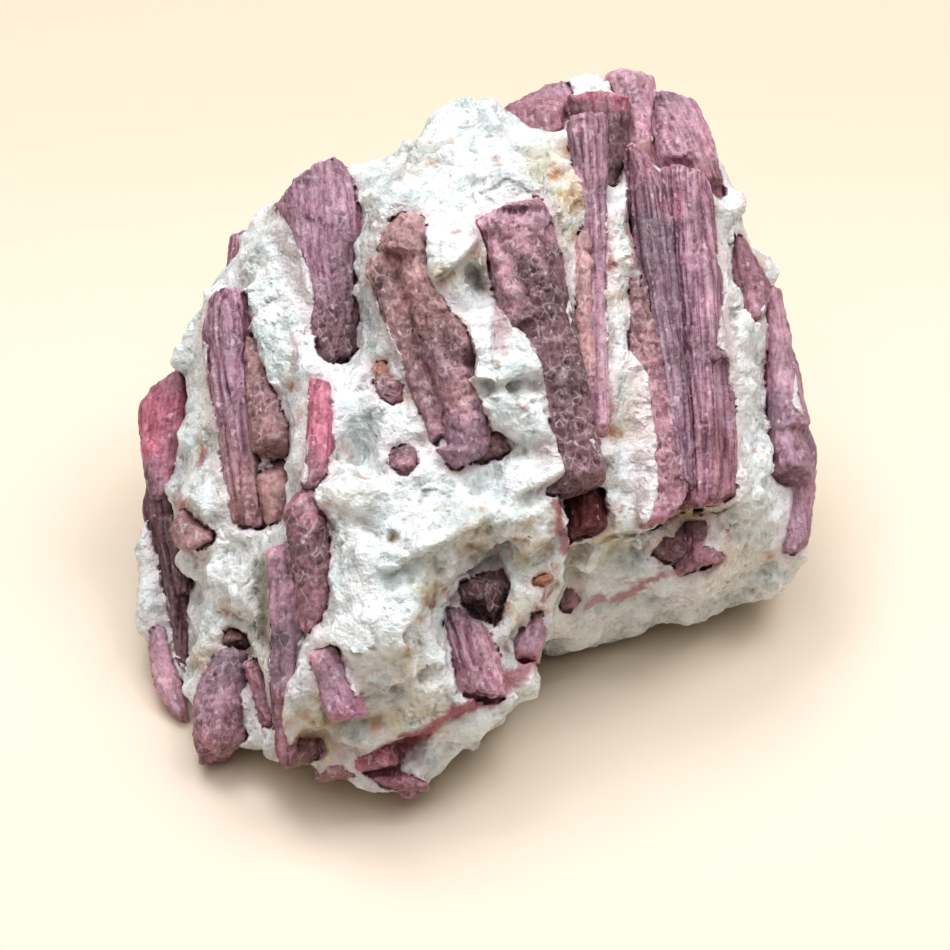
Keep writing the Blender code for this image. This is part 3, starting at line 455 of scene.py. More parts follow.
# Places on the broad face where shade is painted into the hollows, gullies and under the ledges as
# a dim brown: start, end, width, strength
GULLY_SHADE = (
    ((0.3, 20.2), (0.6, 18.8), 1.6, 0.9), ((-21.4, -9), (-21, -16.4), 1.8, 1.0),
    ((-8.1, -6), (-8.1, -6.7), 0.5, 1.0), ((-3.9, -9), (-3.4, -9.6), 1.0, 0.8),
    ((-1.6, -7.4), (1, -7.6), 1.0, 0.6), ((-5.9, -16.6), (-5.4, -17), 0.35, 1.0),
    ((2.5, -17.1), (3.2, -17.3), 0.4, 0.9), ((-5.2, -20.4), (-4, -20.2), 0.7, 0.5),
    ((-11, -24.8), (-9.4, -24.6), 0.9, 0.7), ((3.6, 8.2), (4.4, 7.7), 0.4, 0.7),
    ((2.2, 1.3), (5, 2.4), 0.7, 0.8), ((-27, 4.6), (-26.4, 4.2), 0.5, 0.8),
    ((-28, 9), (-27, 9.4), 0.9, 0.3), ((12.9, 1.2), (14.2, -1), 1.0, 0.7),
    ((-0.6, 29.6), (0.9, 29.4), 0.7, 0.5), ((8.7, 20.6), (8.9, 17.4), 0.6, 0.6),
    ((-18.6, 5), (-17, 5.3), 0.4, 0.6), ((-21.5, 0.9), (-19.4, 1.2), 0.5, 1.0),
    ((-24.2, -17.4), (-22.2, -17.6), 0.6, 1.0), ((-6.1, 30.3), (-5.2, 30), 0.6, 0.4),
)


def srgb(red, green, blue):
    """A colour named by its three values on screen, 0 to 255, as light."""
    return tuple(
        c / 12.92 if c <= 0.04045 else ((c + 0.055) / 1.055) ** 2.4
        for c in (red / 255, green / 255, blue / 255)
    )


def colour(name, description, default):
    return FloatVectorProperty(
        name=name, description=description, default=srgb(*default),
        subtype="COLOR", size=3, min=0, max=1,
    )


def length(name, description, default):
    return FloatProperty(
        name=name, description=description, default=default * MM,
        unit="LENGTH", subtype="DISTANCE", precision=5, min=0,
    )


class AlbiteLook(bpy.types.PropertyGroup):
    skin: length("Skin", "Size of the squares that the rock's skin is made of", 0.38)
    triangles: IntProperty(
        name="Triangles", description="The most that the rock is made of", default=188000
    )
    blocks: IntProperty(name="Blocks", description="How many broken blocks", default=2800, min=0)
    block_size: length("Block size", "Length of a middling block", 3.4)
    block_height: length("Block height", "How far the highest blocks stand out", 0.8)
    plate_rise: FloatProperty(name="Plate rise", description="How steeply the plates stand",
                              default=1.7, min=0)
    block_clear: length("Block clearance", "Distance from the blocks to a crystal", 0.9)
    closing: length("Closing", "Half the width of the gaps that are filled", 0.22)
    blade_size: length("Blade size", "Width of the blades that the rock broke along", 2.6)
    blade_height: length("Blade height", "How far one blade stands above the next", 0.36)
    chip_size: length("Chip size", "Width of the small chips between the blades", 1.1)
    chip_height: length("Chip height", "Height of those chips", 0.19)
    sugar_size: length("Sugar size", "Width of the fine grains", 0.6)
    sugar_height: length("Sugar height", "Height of the fine grains", 0.1)
    lap_height: length("Lap height", "How high the rock stands against a crystal's side", 0.6)
    tuck: length("Tuck", "How deep the rock's skin goes under a crystal's", 0.45)
    white: colour("White", "Fresh albite", (246, 249, 251))
    cool: colour("Cool", "Glassy grey-green albite", (216, 224, 226))
    # Stain colour, also used as painted shade under some ledges and overhangs
    cream_and_shade: colour("Cream", "Stained albite", (232, 214, 182))
    rust: colour("Rust", "Iron stain", (206, 138, 84))
    blush: colour("Blush", "Albite beside a crystal", (226, 196, 200))
    seam: colour("Seam", "Tourmaline smeared in the albite", (182, 130, 140))
    # Painted shade: the dim brown of the hollows, gullies and undersides of ledges
    gully_shade: colour("Dim", "Deep glassy hollows", (138, 122, 92))
    # Painted shade: the colour that the creases between the blocks are darkened towards
    crease_shade: colour("Crease", "Creases between the blocks", (190, 184, 172))


class TourmalineLook(bpy.types.PropertyGroup):
    skin: length("Skin", "Size of the squares that a crystal's skin is made of", 0.24)
    growth: length("Growth", "How far a crystal reaches into the rock round it", 0.2)
    rib_height: length("Rib height", "Height of the ribs that run along a crystal", 0.14)
    rib_width: length("Rib width", "Width of those ribs", 0.5)
    rod_width: length("Rod width", "Width of the thin rods that a crystal is a bundle of", 1.3)
    rod_height: length("Rod height", "How far one thin rod stands above the next", 0.26)
    facet_size: length("Facet size", "Width of the broken facets on a crystal", 1.1)
    facet_height: length("Facet height", "Height of those facets", 0.23)
    pink: colour("Pink", "Clear pink", (214, 174, 188))
    red: colour("Red", "Deep rose red", (206, 134, 152))
    magenta: colour("Magenta", "Deep magenta", (196, 142, 166))
    rose: colour("Rose", "Brownish rose", (182, 138, 150))
    mauve: colour("Mauve", "Greyed violet pink", (186, 153, 168))
    violet: colour("Violet", "Grey violet", (162, 138, 150))
    plum: colour("Plum", "Dark violet brown", (136, 106, 112))
    brown: colour("Brown", "Grainy brown", (166, 132, 132))
    salmon: colour("Salmon", "Orange pink", (206, 168, 168))
    rust: colour("Rust", "Rusty orange", (190, 136, 108))
    dark: colour("Dark", "Deep red brown", (92, 58, 58))
    garnet: colour("Garnet", "Clear dark red", (110, 46, 48))


class StageLook(bpy.types.PropertyGroup):
    floor: colour("Floor", "Pale floor", (240, 228, 213))
    floor_back: colour("Floor behind", "Pale floor further back", (232, 211, 192))
    sky: FloatProperty(name="Sky", description="Light from overhead", default=1.2, min=0)
    horizon: FloatProperty(
        name="Horizon", description="Light from the walls all round", default=0.05, min=0
    )
    key: FloatProperty(
        name="Key light", description="Power of the large lamp", default=1.05, unit="POWER"
    )
    fill: FloatProperty(
        name="Fill light", description="Power of the lamp at the back right", default=0.9,
        unit="POWER",
    )


# Places and noise

def face_places(points):
    """Across, up and out on the stone's broad face, in mm, as the eye reads them."""
    x, y, z = (points / MM - FACE_PLACE).T
    up = math.cos(FACE_SLOPE) * y + math.sin(FACE_SLOPE) * z
    out = -math.sin(FACE_SLOPE) * y + math.cos(FACE_SLOPE) * z
    nearer = 1 - out / EYE_DISTANCE
    return np.stack((x / nearer, up / nearer, out), axis=1)


def stone_places(places):
    """Places on the broad face as the eye reads them, in mm, turned back into the scene's."""
    nearer = 1 - places[:, 2] / EYE_DISTANCE
    across, up, out = places[:, 0] * nearer, places[:, 1] * nearer, places[:, 2]
    y = math.cos(FACE_SLOPE) * up - math.sin(FACE_SLOPE) * out
    z = math.sin(FACE_SLOPE) * up + math.cos(FACE_SLOPE) * out
    return (np.stack((across, y, z), axis=1) + FACE_PLACE) * MM


def fractal(points, size, octaves=3, seed=0):
    """Cloudy noise about zero; size is in mm."""
    places = (points / MM / size + 17.3 * seed).tolist()
    return np.array([noise.fractal(p, 0.9, 2.1, octaves) for p in places])


def cells(points, size, seed=0):
    """For each point, how far it is from the middle of its cell and from the cell's edge,
    the height there of a flat that leans its own way, and a number of the cell's own."""
    found = []
    for place in (points / MM / size + 11.9 * seed).tolist():
        gaps, middles = noise.voronoi(place)
        own = noise.cell_vector(middles[0] * 37)
        lean = (own - HALF).normalized()
        height = (Vector(place) - middles[0]).dot(lean)
        found.append((gaps[0], gaps[1] - gaps[0], height, own.x))
    return np.array(found).T


def smooth(low, high, values):
    """0 below low, 1 above high, and an easy slope between."""
    share = np.clip((values - low) / (high - low), 0, 1)
    return share * share * (3 - 2 * share)


# Meshes

def points_of(mesh, kind="co"):
    """The places of a mesh's points, or their normals."""
    values = np.empty(len(mesh.vertices) * 3)
    source = mesh.vertices if kind == "co" else mesh.vertex_normals
    source.foreach_get(kind if kind == "co" else "vector", values)
    return values.reshape(-1, 3)


def move_points(mesh, points):
    mesh.vertices.foreach_set("co", points.ravel())
    mesh.update()


def keep_values(mesh, name, values, kind="FLOAT"):
    """Stores a number, a place or a colour at each point, for the material to read."""
    field = {"FLOAT": "value", "FLOAT_VECTOR": "vector", "FLOAT_COLOR": "color"}[kind]
    mesh.attributes.new(name, kind, "POINT").data.foreach_set(field, np.ravel(values))


def hollows(mesh, points, normals, rounds=1):
    """How deep each point lies below its neighbours, in mm; below zero where it stands out."""
    pairs = np.empty(len(mesh.edges) * 2, dtype=int)
    mesh.edges.foreach_get("vertices", pairs)
    ends = np.concatenate((pairs[::2], pairs[1::2]))
    others = np.concatenate((pairs[1::2], pairs[::2]))
    count = np.bincount(ends, minlength=len(points))
    around = np.stack([np.bincount(ends, points[others, k]) for k in range(3)], axis=1)
    depth = ((around / count[:, None] - points) * normals).sum(axis=1) / MM
    for _ in range(rounds):
        depth = (depth + np.bincount(ends, depth[others]) / count) / 2
    return depth


def merged_copy(node):
    """A CAD node's mesh with its loose triangles joined."""
    bm = bmesh.new()
    bm.from_mesh(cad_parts[node].data)
    bmesh.ops.remove_doubles(bm, verts=bm.verts, dist=1e-6)
    mesh = bpy.data.meshes.new(node)
    bm.to_mesh(mesh)
    bm.free()
    return mesh


def new_piece(name, mesh):
    piece = bpy.data.objects.new(name, mesh)
    bpy.context.scene.collection.objects.link(piece)
    return piece


def evaluated(piece):
    """The piece's mesh with its modifiers applied."""
    bpy.context.view_layer.update()
    graph = bpy.context.evaluated_depsgraph_get()
    made = bpy.data.meshes.new_from_object(piece.evaluated_get(graph))
    piece.modifiers.clear()
    piece.data = made
    return made


def even_out(piece, square, rounds=0, growth=0.0):
    """Grows and smooths a piece, and gives it a skin of even squares."""
    if growth:
        grow = piece.modifiers.new("growth", "DISPLACE")
        grow.mid_level = 0
        grow.strength = growth
    if rounds:
        soft = piece.modifiers.new("soften", "SMOOTH")
        soft.factor = 0.5
        soft.iterations = rounds
    remesh = piece.modifiers.new("even skin", "REMESH")
    remesh.mode = "VOXEL"
    remesh.voxel_size = square
    return evaluated(piece)


# Material nodes

def add(tree, kind, inputs=None, **settings):
    """A node with its settings and inputs; an input is a value or another node's output."""
    made = tree.nodes.new("ShaderNode" + kind)
    for setting, value in settings.items():
        setattr(made, setting, value)
    for socket, value in (inputs or {}).items():
        if isinstance(value, bpy.types.NodeSocket):
            tree.links.new(value, made.inputs[socket])
        else:
            made.inputs[socket].default_value = value
    return made


def blend(tree, share, first, second, kind="MIX"):
    made = add(tree, "Mix", {0: share, 6: first, 7: second}, data_type="RGBA", blend_type=kind)
    return made.outputs[2]


def sums(tree, kind, first, second=0.0, third=0.0):
    made = add(tree, "Math", {0: first, 1: second, 2: third}, operation=kind)
    return made.outputs[0]


def steps(tree, value, low, high):
    """0 where the value is at low or past it, 1 at high, and an easy slope between."""
    made = add(
        tree, "MapRange", {0: value, 1: low, 2: high, 3: 0.0, 4: 1.0},
        interpolation_type="SMOOTHSTEP",
    )
    return made.outputs[0]


def stored(tree, name, output="Fac"):
    """A number, place or colour that the mesh holds at each point."""
    return add(tree, "Attribute", attribute_name=name).outputs[output]


def in_mm(tree, source):
    return add(tree, "Mapping", {"Vector": source, "Scale": (1 / MM,) * 3}).outputs[0]


def clouds(tree, place, scale, detail=3.0, roughness=0.55):
    """Soft noise, 0 to 1; scale is how many clouds there are to the place's unit."""
    made = add(
        tree, "TexNoise",
        {"Vector": place, "Scale": scale, "Detail": detail, "Roughness": roughness},
    )
    return made.outputs["Fac"]


def solid(value):
    return (*value, 1.0)


def empty_material(name):
    made = bpy.data.materials.new(name)
    made.use_nodes = True
    return made, made.node_tree, made.node_tree.nodes["Principled BSDF"]


def channel(tree, source, which=0):
    return add(tree, "SeparateColor", {0: source}).outputs[which]


def leaning(tree, grains, tilt):
    """Normals that lean a way of their own on each small grain, so that some catch the light."""
    lean = add(tree, "VectorMath", {0: grains.outputs["Color"], 1: HALF}, operation="SUBTRACT")
    lean = add(tree, "VectorMath", {0: lean.outputs[0], "Scale": tilt}, operation="SCALE")
    straight = add(tree, "NewGeometry").outputs["Normal"]
    moved = add(tree, "VectorMath", {0: straight, 1: lean.outputs[0]}, operation="ADD")
    return add(tree, "VectorMath", {0: moved.outputs[0]}, operation="NORMALIZE").outputs[0]


def bumped(tree, shader, height, depth, normal):
    bump = add(tree, "Bump", {"Strength": 1.0, "Distance": depth, "Height": height,
                              "Normal": normal})
    tree.links.new(bump.outputs[0], shader.inputs["Normal"])


def albite_material(look):
    """White, sugary and a little see-through, with creamy, rust and pink stains, and painted shade
    in its creases, its hollows and under its ledges.
    """
    made, tree, shader = empty_material("albite")
    place = in_mm(tree, add(tree, "TexCoord").outputs["Object"])
    patches = steps(tree, clouds(tree, place, 0.25, 5.0, 0.65), 0.46, 0.64)
    tone = blend(tree, patches, solid(look.white), solid(look.cool))
    grains = add(tree, "TexVoronoi", {"Vector": place, "Scale": 0.95})
    fine = add(tree, "TexVoronoi", {"Vector": place, "Scale": 2.9})
    own = channel(tree, grains.outputs["Color"])
    own = sums(tree, "MULTIPLY_ADD", channel(tree, fine.outputs["Color"]), 0.5, own)
    tone = blend(tree, 1.0, tone, sums(tree, "MULTIPLY_ADD", own, 0.10, 0.87), "MULTIPLY")
    # Painted shade in the rock's creases, as strong as the stored depth of the crease
    crease_shade_share = sums(tree, "MULTIPLY", stored(tree, "hollow_shade"), 0.7)
    tone = blend(tree, crease_shade_share, tone, solid(look.crease_shade), "MULTIPLY")
    for name in ("blush", "seam", "cream_and_shade", "rust", "gully_shade"):
        kind = "MULTIPLY" if name in ("cream_and_shade", "rust", "gully_shade") else "MIX"
        tone = blend(tree, stored(tree, name), tone, solid(getattr(look, name)), kind)
    tree.links.new(tone, shader.inputs["Base Color"])
    gloss = sums(tree, "MULTIPLY_ADD", channel(tree, fine.outputs["Color"], 1), 0.5, 0.18)
    tree.links.new(gloss, shader.inputs["Roughness"])
    shader.inputs["Subsurface Weight"].default_value = 0.25
    shader.inputs["Subsurface Radius"].default_value = (1.0, 0.95, 0.85)
    shader.inputs["Subsurface Scale"].default_value = 0.7 * MM
    lumps = sums(tree, "MULTIPLY_ADD", grains.outputs["Distance"], -1.0,
                 clouds(tree, place, 3.0, 3.0, 0.6))
    lumps = sums(tree, "MULTIPLY_ADD", fine.outputs["Distance"], -0.5, lumps)
    bumped(tree, shader, lumps, 0.12 * MM, leaning(tree, grains, 0.34))
    return made


def tourmaline_material(look):
    """Striped and grainy glass, tinted by the colour stored at each point, with painted shade in
    its grooves and hollows and a painted highlight on its crests.
    """
    made, tree, shader = empty_material("tourmaline")
    rod, tint = stored(tree, "rod", "Vector"), stored(tree, "tint", "Color")
    ribs, facets = stored(tree, "ribs"), stored(tree, "facets")
    deep = blend(tree, 1.0, tint, (0.46, 0.30, 0.40, 1), "MULTIPLY")
    pale = blend(tree, 0.42, tint, (0.88, 0.76, 0.82, 1))
    along = add(tree, "Mapping", {"Vector": rod, "Scale": (2.4, 2.4, 0.06)}).outputs[0]
    lines = clouds(tree, along, 1.0, 4.0, 0.7)
    dark_lines = sums(tree, "MULTIPLY", steps(tree, lines, 0.52, 0.36), ribs)
    pale_lines = sums(tree, "MULTIPLY", steps(tree, lines, 0.54, 0.72), ribs)
    tone = blend(tree, dark_lines, tint, deep)
    tone = blend(tree, pale_lines, tone, pale)
    # Painted shade in the grooves between the rods and in hollows, and a painted highlight on
    # crests
    tone = blend(tree, sums(tree, "MULTIPLY", stored(tree, "groove_and_shade"), 0.55), tone, deep)
    tone = blend(tree, sums(tree, "MULTIPLY", stored(tree, "hollow_shade"), 0.6), tone, deep)
    tone = blend(tree, sums(tree, "MULTIPLY", stored(tree, "crest_highlight"), 0.3), tone, pale)
    drift = add(tree, "TexNoise", {"Vector": rod, "Scale": 0.9, "Detail": 3.0})
    bent = add(tree, "MixRGB", {0: 0.5, 1: rod, 2: drift.outputs["Color"]}, blend_type="ADD")
    bent = add(tree, "Mapping", {"Vector": bent.outputs[0], "Scale": (1, 1, 0.7)}).outputs[0]
    grains = add(tree, "TexVoronoi", {"Vector": bent, "Scale": 1.0})
    small = add(tree, "TexVoronoi", {"Vector": bent, "Scale": 3.0})
    edge = add(tree, "TexVoronoi", {"Vector": bent, "Scale": 1.0}, feature="DISTANCE_TO_EDGE")
    own = channel(tree, grains.outputs["Color"])
    fine = channel(tree, small.outputs["Color"])
    shade = sums(tree, "MULTIPLY_ADD", own, 0.36, 0.78)
    shade = sums(tree, "MULTIPLY_ADD", fine, 0.30, sums(tree, "SUBTRACT", shade, 0.15))
    share = sums(tree, "MULTIPLY_ADD", facets, 0.6, 0.4)
    tone = blend(tree, share, tone, blend(tree, 1.0, tone, shade, "MULTIPLY"))
    seams = steps(tree, edge.outputs["Distance"], 0.10, 0.015)
    seams = sums(tree, "MULTIPLY", seams, steps(tree, clouds(tree, rod, 0.8), 0.36, 0.55))
    seams = sums(tree, "MULTIPLY", seams, sums(tree, "MULTIPLY_ADD", facets, 0.8, 0.05))
    tone = blend(tree, seams, tone, pale)
    frost = steps(tree, clouds(tree, rod, 5.0, 2.0), 0.60, 0.70)
    tone = blend(tree, sums(tree, "MULTIPLY", frost, 0.35), tone, pale)
    glint = steps(tree, channel(tree, small.outputs["Color"], 1), 0.955, 0.985)
    tone = blend(tree, sums(tree, "MULTIPLY", glint, 0.3), tone, (0.90, 0.82, 0.88, 1))
    pits = steps(tree, channel(tree, small.outputs["Color"], 2), 0.955, 0.98)
    tone = blend(tree, sums(tree, "MULTIPLY", pits, 0.5), tone, deep)
    tree.links.new(tone, shader.inputs["Base Color"])
    gloss = sums(tree, "MULTIPLY_ADD", channel(tree, grains.outputs["Color"], 2), 0.3, 0.3)
    tree.links.new(gloss, shader.inputs["Roughness"])
    shader.inputs["Subsurface Weight"].default_value = 0.2
    shader.inputs["Subsurface Radius"].default_value = (1.0, 0.6, 0.7)
    shader.inputs["Subsurface Scale"].default_value = 0.6 * MM
    height = sums(tree, "MULTIPLY_ADD", lines, ribs, clouds(tree, rod, 3.0, 3.0, 0.7))
    height = sums(tree, "MULTIPLY_ADD", own, sums(tree, "MULTIPLY", facets, 0.5), height)
    bumped(tree, shader, height, 0.14 * MM, leaning(tree, small, 0.45))
    return made


def floor_material(look):
    made, tree, shader = empty_material("pale floor")
    place = add(tree, "TexCoord").outputs["Object"]
    away = add(tree, "SeparateXYZ", {0: place}).outputs[1]
    tone = blend(tree, steps(tree, away, -0.02, 0.12), solid(look.floor), solid(look.floor_back))
    tree.links.new(tone, shader.inputs["Base Color"])
    shader.inputs["Roughness"].default_value = 0.7
    return made


# Crystals

def crystal_frame(points):
    """The middle of a crystal and its own three directions, the last one along it."""
    middle = points.mean(axis=0)
    spread, ways = np.linalg.eigh(np.cov((points - middle).T))
    along = ways[:, 2] if spread[2] > 2.4 * spread[1] else COMMON_AXIS
    along = along * np.sign(along @ COMMON_AXIS) / np.linalg.norm(along)
    side = np.cross(along, (0, 0, 1))
    side /= np.linalg.norm(side)
    return middle, np.stack((side, np.cross(along, side), along))


def own_seed(name):
    return sum(k * ord(letter) for k, letter in enumerate(name, 1)) % 89


def edges_seen(places, reach=0.3):
    """A crystal's left and right edges as the eye sees them, and its middle depth, from the
    foot up. Near its ends, where it is broken aslant, they are those of its body."""
    up = places[:, 1]
    heights = np.arange(up.min(), up.max() + reach / 2, reach / 2)
    rows = []
    for height in heights:
        near = places[np.abs(up - height) < reach]
        out = (near[:, 2].min() + near[:, 2].max()) / 2
        rows.append((near[:, 0].min(), near[:, 0].max(), out))
    rows = np.array(rows)
    skip = min(5, len(rows) // 2)
    rows[:skip, :2] = rows[skip, :2]
    rows[-skip:, :2] = rows[-skip - 1, :2]
    return heights, rows


def turn(first, second):
    """Above zero where the second way lies to the left of the first."""
    return first[0] * second[1] - first[1] * second[0]


def outer_edges(name):
    """The readings of a crystal's edges from the foot up, made straight or bulging: where the
    eye sees a bay in an edge, rock lies over the crystal."""
    table = np.array(EDGES[name])[::-1] + (0, -EDGE_REACH, EDGE_REACH)
    ups = table[:, 0]
    for side, sign in ((1, 1), (2, -1)):
        kept = []
        for row in table[:, (0, side)] * (1, sign):
            while len(kept) > 1 and turn(kept[-1] - kept[-2], row - kept[-1]) <= 0:
                kept.pop()
            kept.append(row)
        kept = np.array(kept)
        table[:, side] = sign * np.interp(ups, kept[:, 0], kept[:, 1])
    return table


def fitted(name, points):
    """The crystal's points, moved so that its edges lie at its outer edges."""
    table = outer_edges(name)
    places = face_places(points)
    heights, rows = edges_seen(places)
    old_left, old_right, middle = (np.interp(places[:, 1], heights, rows[:, k]) for k in range(3))
    share = (places[:, 1] - heights[0]) / np.ptp(places[:, 1])
    up = table[0, 0] + share * (table[-1, 0] - table[0, 0])
    left, right = (np.interp(up, table[:, 0], table[:, k]) for k in (1, 2))
    slim = (right - left) / (old_right - old_left)
    across = left + (places[:, 0] - old_left) * slim
    out = middle + (places[:, 2] - middle) * np.clip(slim, 0.4, 1.3)
    return stone_places(np.stack((across, up, out), axis=1))


def dress_crystal(name, look):
    """Ribs along the crystal, broken facets across it and rough ends."""
    top_tint, middle_tint, foot_tint, ribs, facets_top, facets_foot = CRYSTALS[name]
    piece = new_piece(f"tourmaline_{name}", merged_copy(f"crystal_{name}"))
    mesh = even_out(piece, look.skin * 1.3, 0, look.growth)
    if name in EDGES:
        for _ in range(2):
            move_points(mesh, fitted(name, points_of(mesh)))
    mesh = even_out(piece, look.skin)
    soft = piece.modifiers.new("soften", "SMOOTH")
    soft.factor = 0.5
    soft.iterations = 2
    mesh = evaluated(piece)
    points, normals = points_of(mesh), points_of(mesh, "normal")
    middle, ways = crystal_frame(points)
    seed = own_seed(name)
    rod = (points - middle) @ ways.T
    reach = np.abs(rod[:, 2]).max()
    height = (rod[:, 2] / reach + 1) / 2
    wander = fractal(points, 4, 3, seed)
    share = np.clip(height + 0.2 * wander, 0, 1)
    facets = facets_foot + (facets_top - facets_foot) * share
    facets = np.clip(facets + 0.8 * fractal(points, 2.5, 2, seed + 1) - 0.1, 0, 1)
    ribs = np.clip(ribs * (1.15 - facets), 0, 1)
    near, _, lean, own_facet = cells(points, look.facet_size / MM, seed)
    fine = cells(points, look.facet_size / MM * 0.5, seed + 5)[2]
    drawn = rod * np.array((1, 1, 0.08))
    _, edge, _, own = cells(drawn, look.rod_width / MM, seed + 3)
    groove_and_shade = smooth(0.3, 0.0, edge)
    lift = ribs * look.rod_height * (own - 0.5 - groove_and_shade)
    lift += ribs * look.rib_height * fractal(rod * np.array((1, 1, 0.04)), look.rib_width / MM,
                                             2, seed)
    lift += look.facet_height * facets * (0.9 * lean + 0.5 * (own_facet - 0.5) - 0.5 * near)
    lift += look.facet_height * 0.4 * fine * (0.3 + facets)
    lift += 0.2 * MM * fractal(points, 1.6, 3, seed + 2) * (0.3 + facets)
    ends = smooth(reach - 1.5 * MM, reach, np.abs(rod[:, 2]))
    lift += 0.3 * MM * fractal(points, 2.6, 3, seed + 4) * (0.35 + ends)
    move_points(mesh, points + normals * lift[:, None])
    foot, centre, top = (
        np.array(getattr(look, tint)) for tint in (foot_tint, middle_tint, top_tint)
    )
    mix = foot + (centre - foot) * smooth(0.05, 0.5, share)[:, None]
    mix = mix + (top - mix) * smooth(0.55, 0.95, share)[:, None]
    mix = mix * (1 + 0.35 * wander)[:, None]
    mix += 0.12 * fractal(points, 2.2, 3, seed + 6)[:, None] * np.array((1.0, 0.5, 0.55)) * mix
    keep_values(mesh, "tint", np.column_stack((np.clip(mix, 0, 1), np.ones(len(mix)))),
                "FLOAT_COLOR")
    keep_values(mesh, "rod", rod / MM + 7.7 * seed, "FLOAT_VECTOR")
    keep_values(mesh, "ribs", ribs)
    # The shares stored below drive painted shade in grooves and hollows and a painted highlight on
    # crests
    keep_values(mesh, "groove_and_shade", ribs * groove_and_shade)
    keep_values(mesh, "facets", facets)
    depth = hollows(mesh, points_of(mesh), points_of(mesh, "normal"))
    keep_values(mesh, "hollow_shade", smooth(0.0, 0.05, depth))
    keep_values(mesh, "crest_highlight", smooth(0.0, 0.05, -depth))
    mesh.shade_smooth()
    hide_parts(f"crystal_{name}")
    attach(piece, "root")
    return piece


# Albite

def crystal_surface():
    """All the dressed crystals' faces, to find how near the rock is to one."""
    bm = bmesh.new()
    for name in CRYSTALS:
        bm.from_mesh(bpy.data.objects[f"tourmaline_{name}"].data)
    tree = BVHTree.FromBMesh(bm)
    bm.free()
    return tree


def in_sight(points):
    """How far each point lies within the edges of some crystal as the eye sees them, in mm;
    below zero outside them."""
    places = face_places(points)
    across = places[:, 0] + 0.3 * fractal(points, 1.6, 2, 31)
    inside = np.full(len(points), -9.0)
    for rows in EDGES.values():
        table = np.array(rows[1:] if rows[0][0] - rows[1][0] > 3 else rows)[::-1]
        up, left, right = table.T
        within = np.minimum(across - np.interp(places[:, 1], up, left),
                            np.interp(places[:, 1], up, right) - across)
        within = np.minimum(within, np.minimum(places[:, 1] - up[0], up[-1] - places[:, 1]))
        inside = np.maximum(inside, within)
    return inside


def bared(points, normals, crystals, deepest, under):
    """The points, sunk along the sight line where they stand in front of a crystal that the
    eye sees, and raised just over it where the eye sees rock."""
    eyes = from_face(0, 0, -EYE_DISTANCE), from_face(0, 0, EYE_DISTANCE)
    seen = points.copy()
    facing_eye = normals @ OUT > 0
    bare = np.where(facing_eye, smooth(-0.5, 0.0, in_sight(points)), 1)
    covers = 0.25 + np.clip(0.9 * fractal(points, 2.2, 3, 32), -0.1, 0.5)
    above = covers * (1 - bare) - under * bare
    for k, (point, facing) in enumerate(zip(points.tolist(), facing_eye)):
        eye = eyes[facing]
        run = (Vector(point) - eye).normalized()
        start = Vector(point) - run * (under * MM)
        if crystals.ray_cast(start + run * 1e-6, -run, FRONT_ROOM)[0] is not None:
            start -= run * FRONT_ROOM
        length_seen = (deepest + under) * MM + (Vector(point) - start).length
        hit = crystals.ray_cast(start, run, length_seen)[0]
        if hit is None:
            continue
        height = (hit - Vector(point)).dot(run) / MM
        if -deepest < height < above[k] if bare[k] < 0.5 else above[k] < height < deepest:
            seen[k] = hit - run * above[k] * MM
    return seen


def beside(points, crystals):
    """How far each point is out of the nearest crystal's skin, in mm, and the way out."""
    hits = [crystals.find_nearest(p) for p in points.tolist()]
    out = np.array([hit[1] for hit in hits])
    away = points - np.array([hit[0] for hit in hits])
    return np.array([hit[3] for hit in hits]) / MM * np.sign((away * out).sum(axis=1)), out


def spots(places, front, table):
    """How strong the stains of one kind are at each place."""
    total = np.zeros(len(places))
    for across, up, width, strength in table:
        gap = np.hypot(places[:, 0] - across, places[:, 1] - up)
        total = np.maximum(total, strength * np.clip(1 - gap / width, 0, 1) * front)
    return total


def along(places, table):
    """For each stroke of a table, how near each place is to it, 0 to 1, and its last value."""
    flat = places[:, :2]
    for start, end, width, value in table:
        start, end = np.array(start), np.array(end)
        run = end - start
        share = np.clip((flat - start) @ run / max(run @ run, 1e-6), 0, 1)
        gap = np.linalg.norm(flat - start - share[:, None] * run, axis=1)
        yield smooth(0, 1, 1 - gap / width), value


def dent_lift(places, front):
    """How far each place sinks into the hollows and grooves of the broad face."""
    astray = places + 0.5 * fractal(places * MM, 1.5, 2, 40)[:, None]
    return sum(near * height for near, height in along(astray, DENTS)) * front * MM


def ledge_lift(places, front):
    """The lip of the ledge at lower right, and the step under it where the underside begins."""
    line = np.array(LEDGE)
    over = places[:, 1] - np.interp(places[:, 0], line[:, 0], line[:, 1])
    within = smooth(8.5, 10.5, places[:, 0]) * smooth(28, 25, places[:, 0])
    lip = 0.5 * smooth(3.5, 0.4, over) * smooth(-0.2, 0.1, over)
    step = 1.1 * smooth(0.1, -0.5, over) * smooth(-5, -2, over)
    return (lip - step) * within * front * MM


def strokes(places, front, table, sharp):
    """How strong the colour of a table of strokes is at each place."""
    total = np.zeros(len(places))
    for near, strength in along(places, table):
        total = np.maximum(total, smooth(0, sharp, near) * strength * front)
    return total


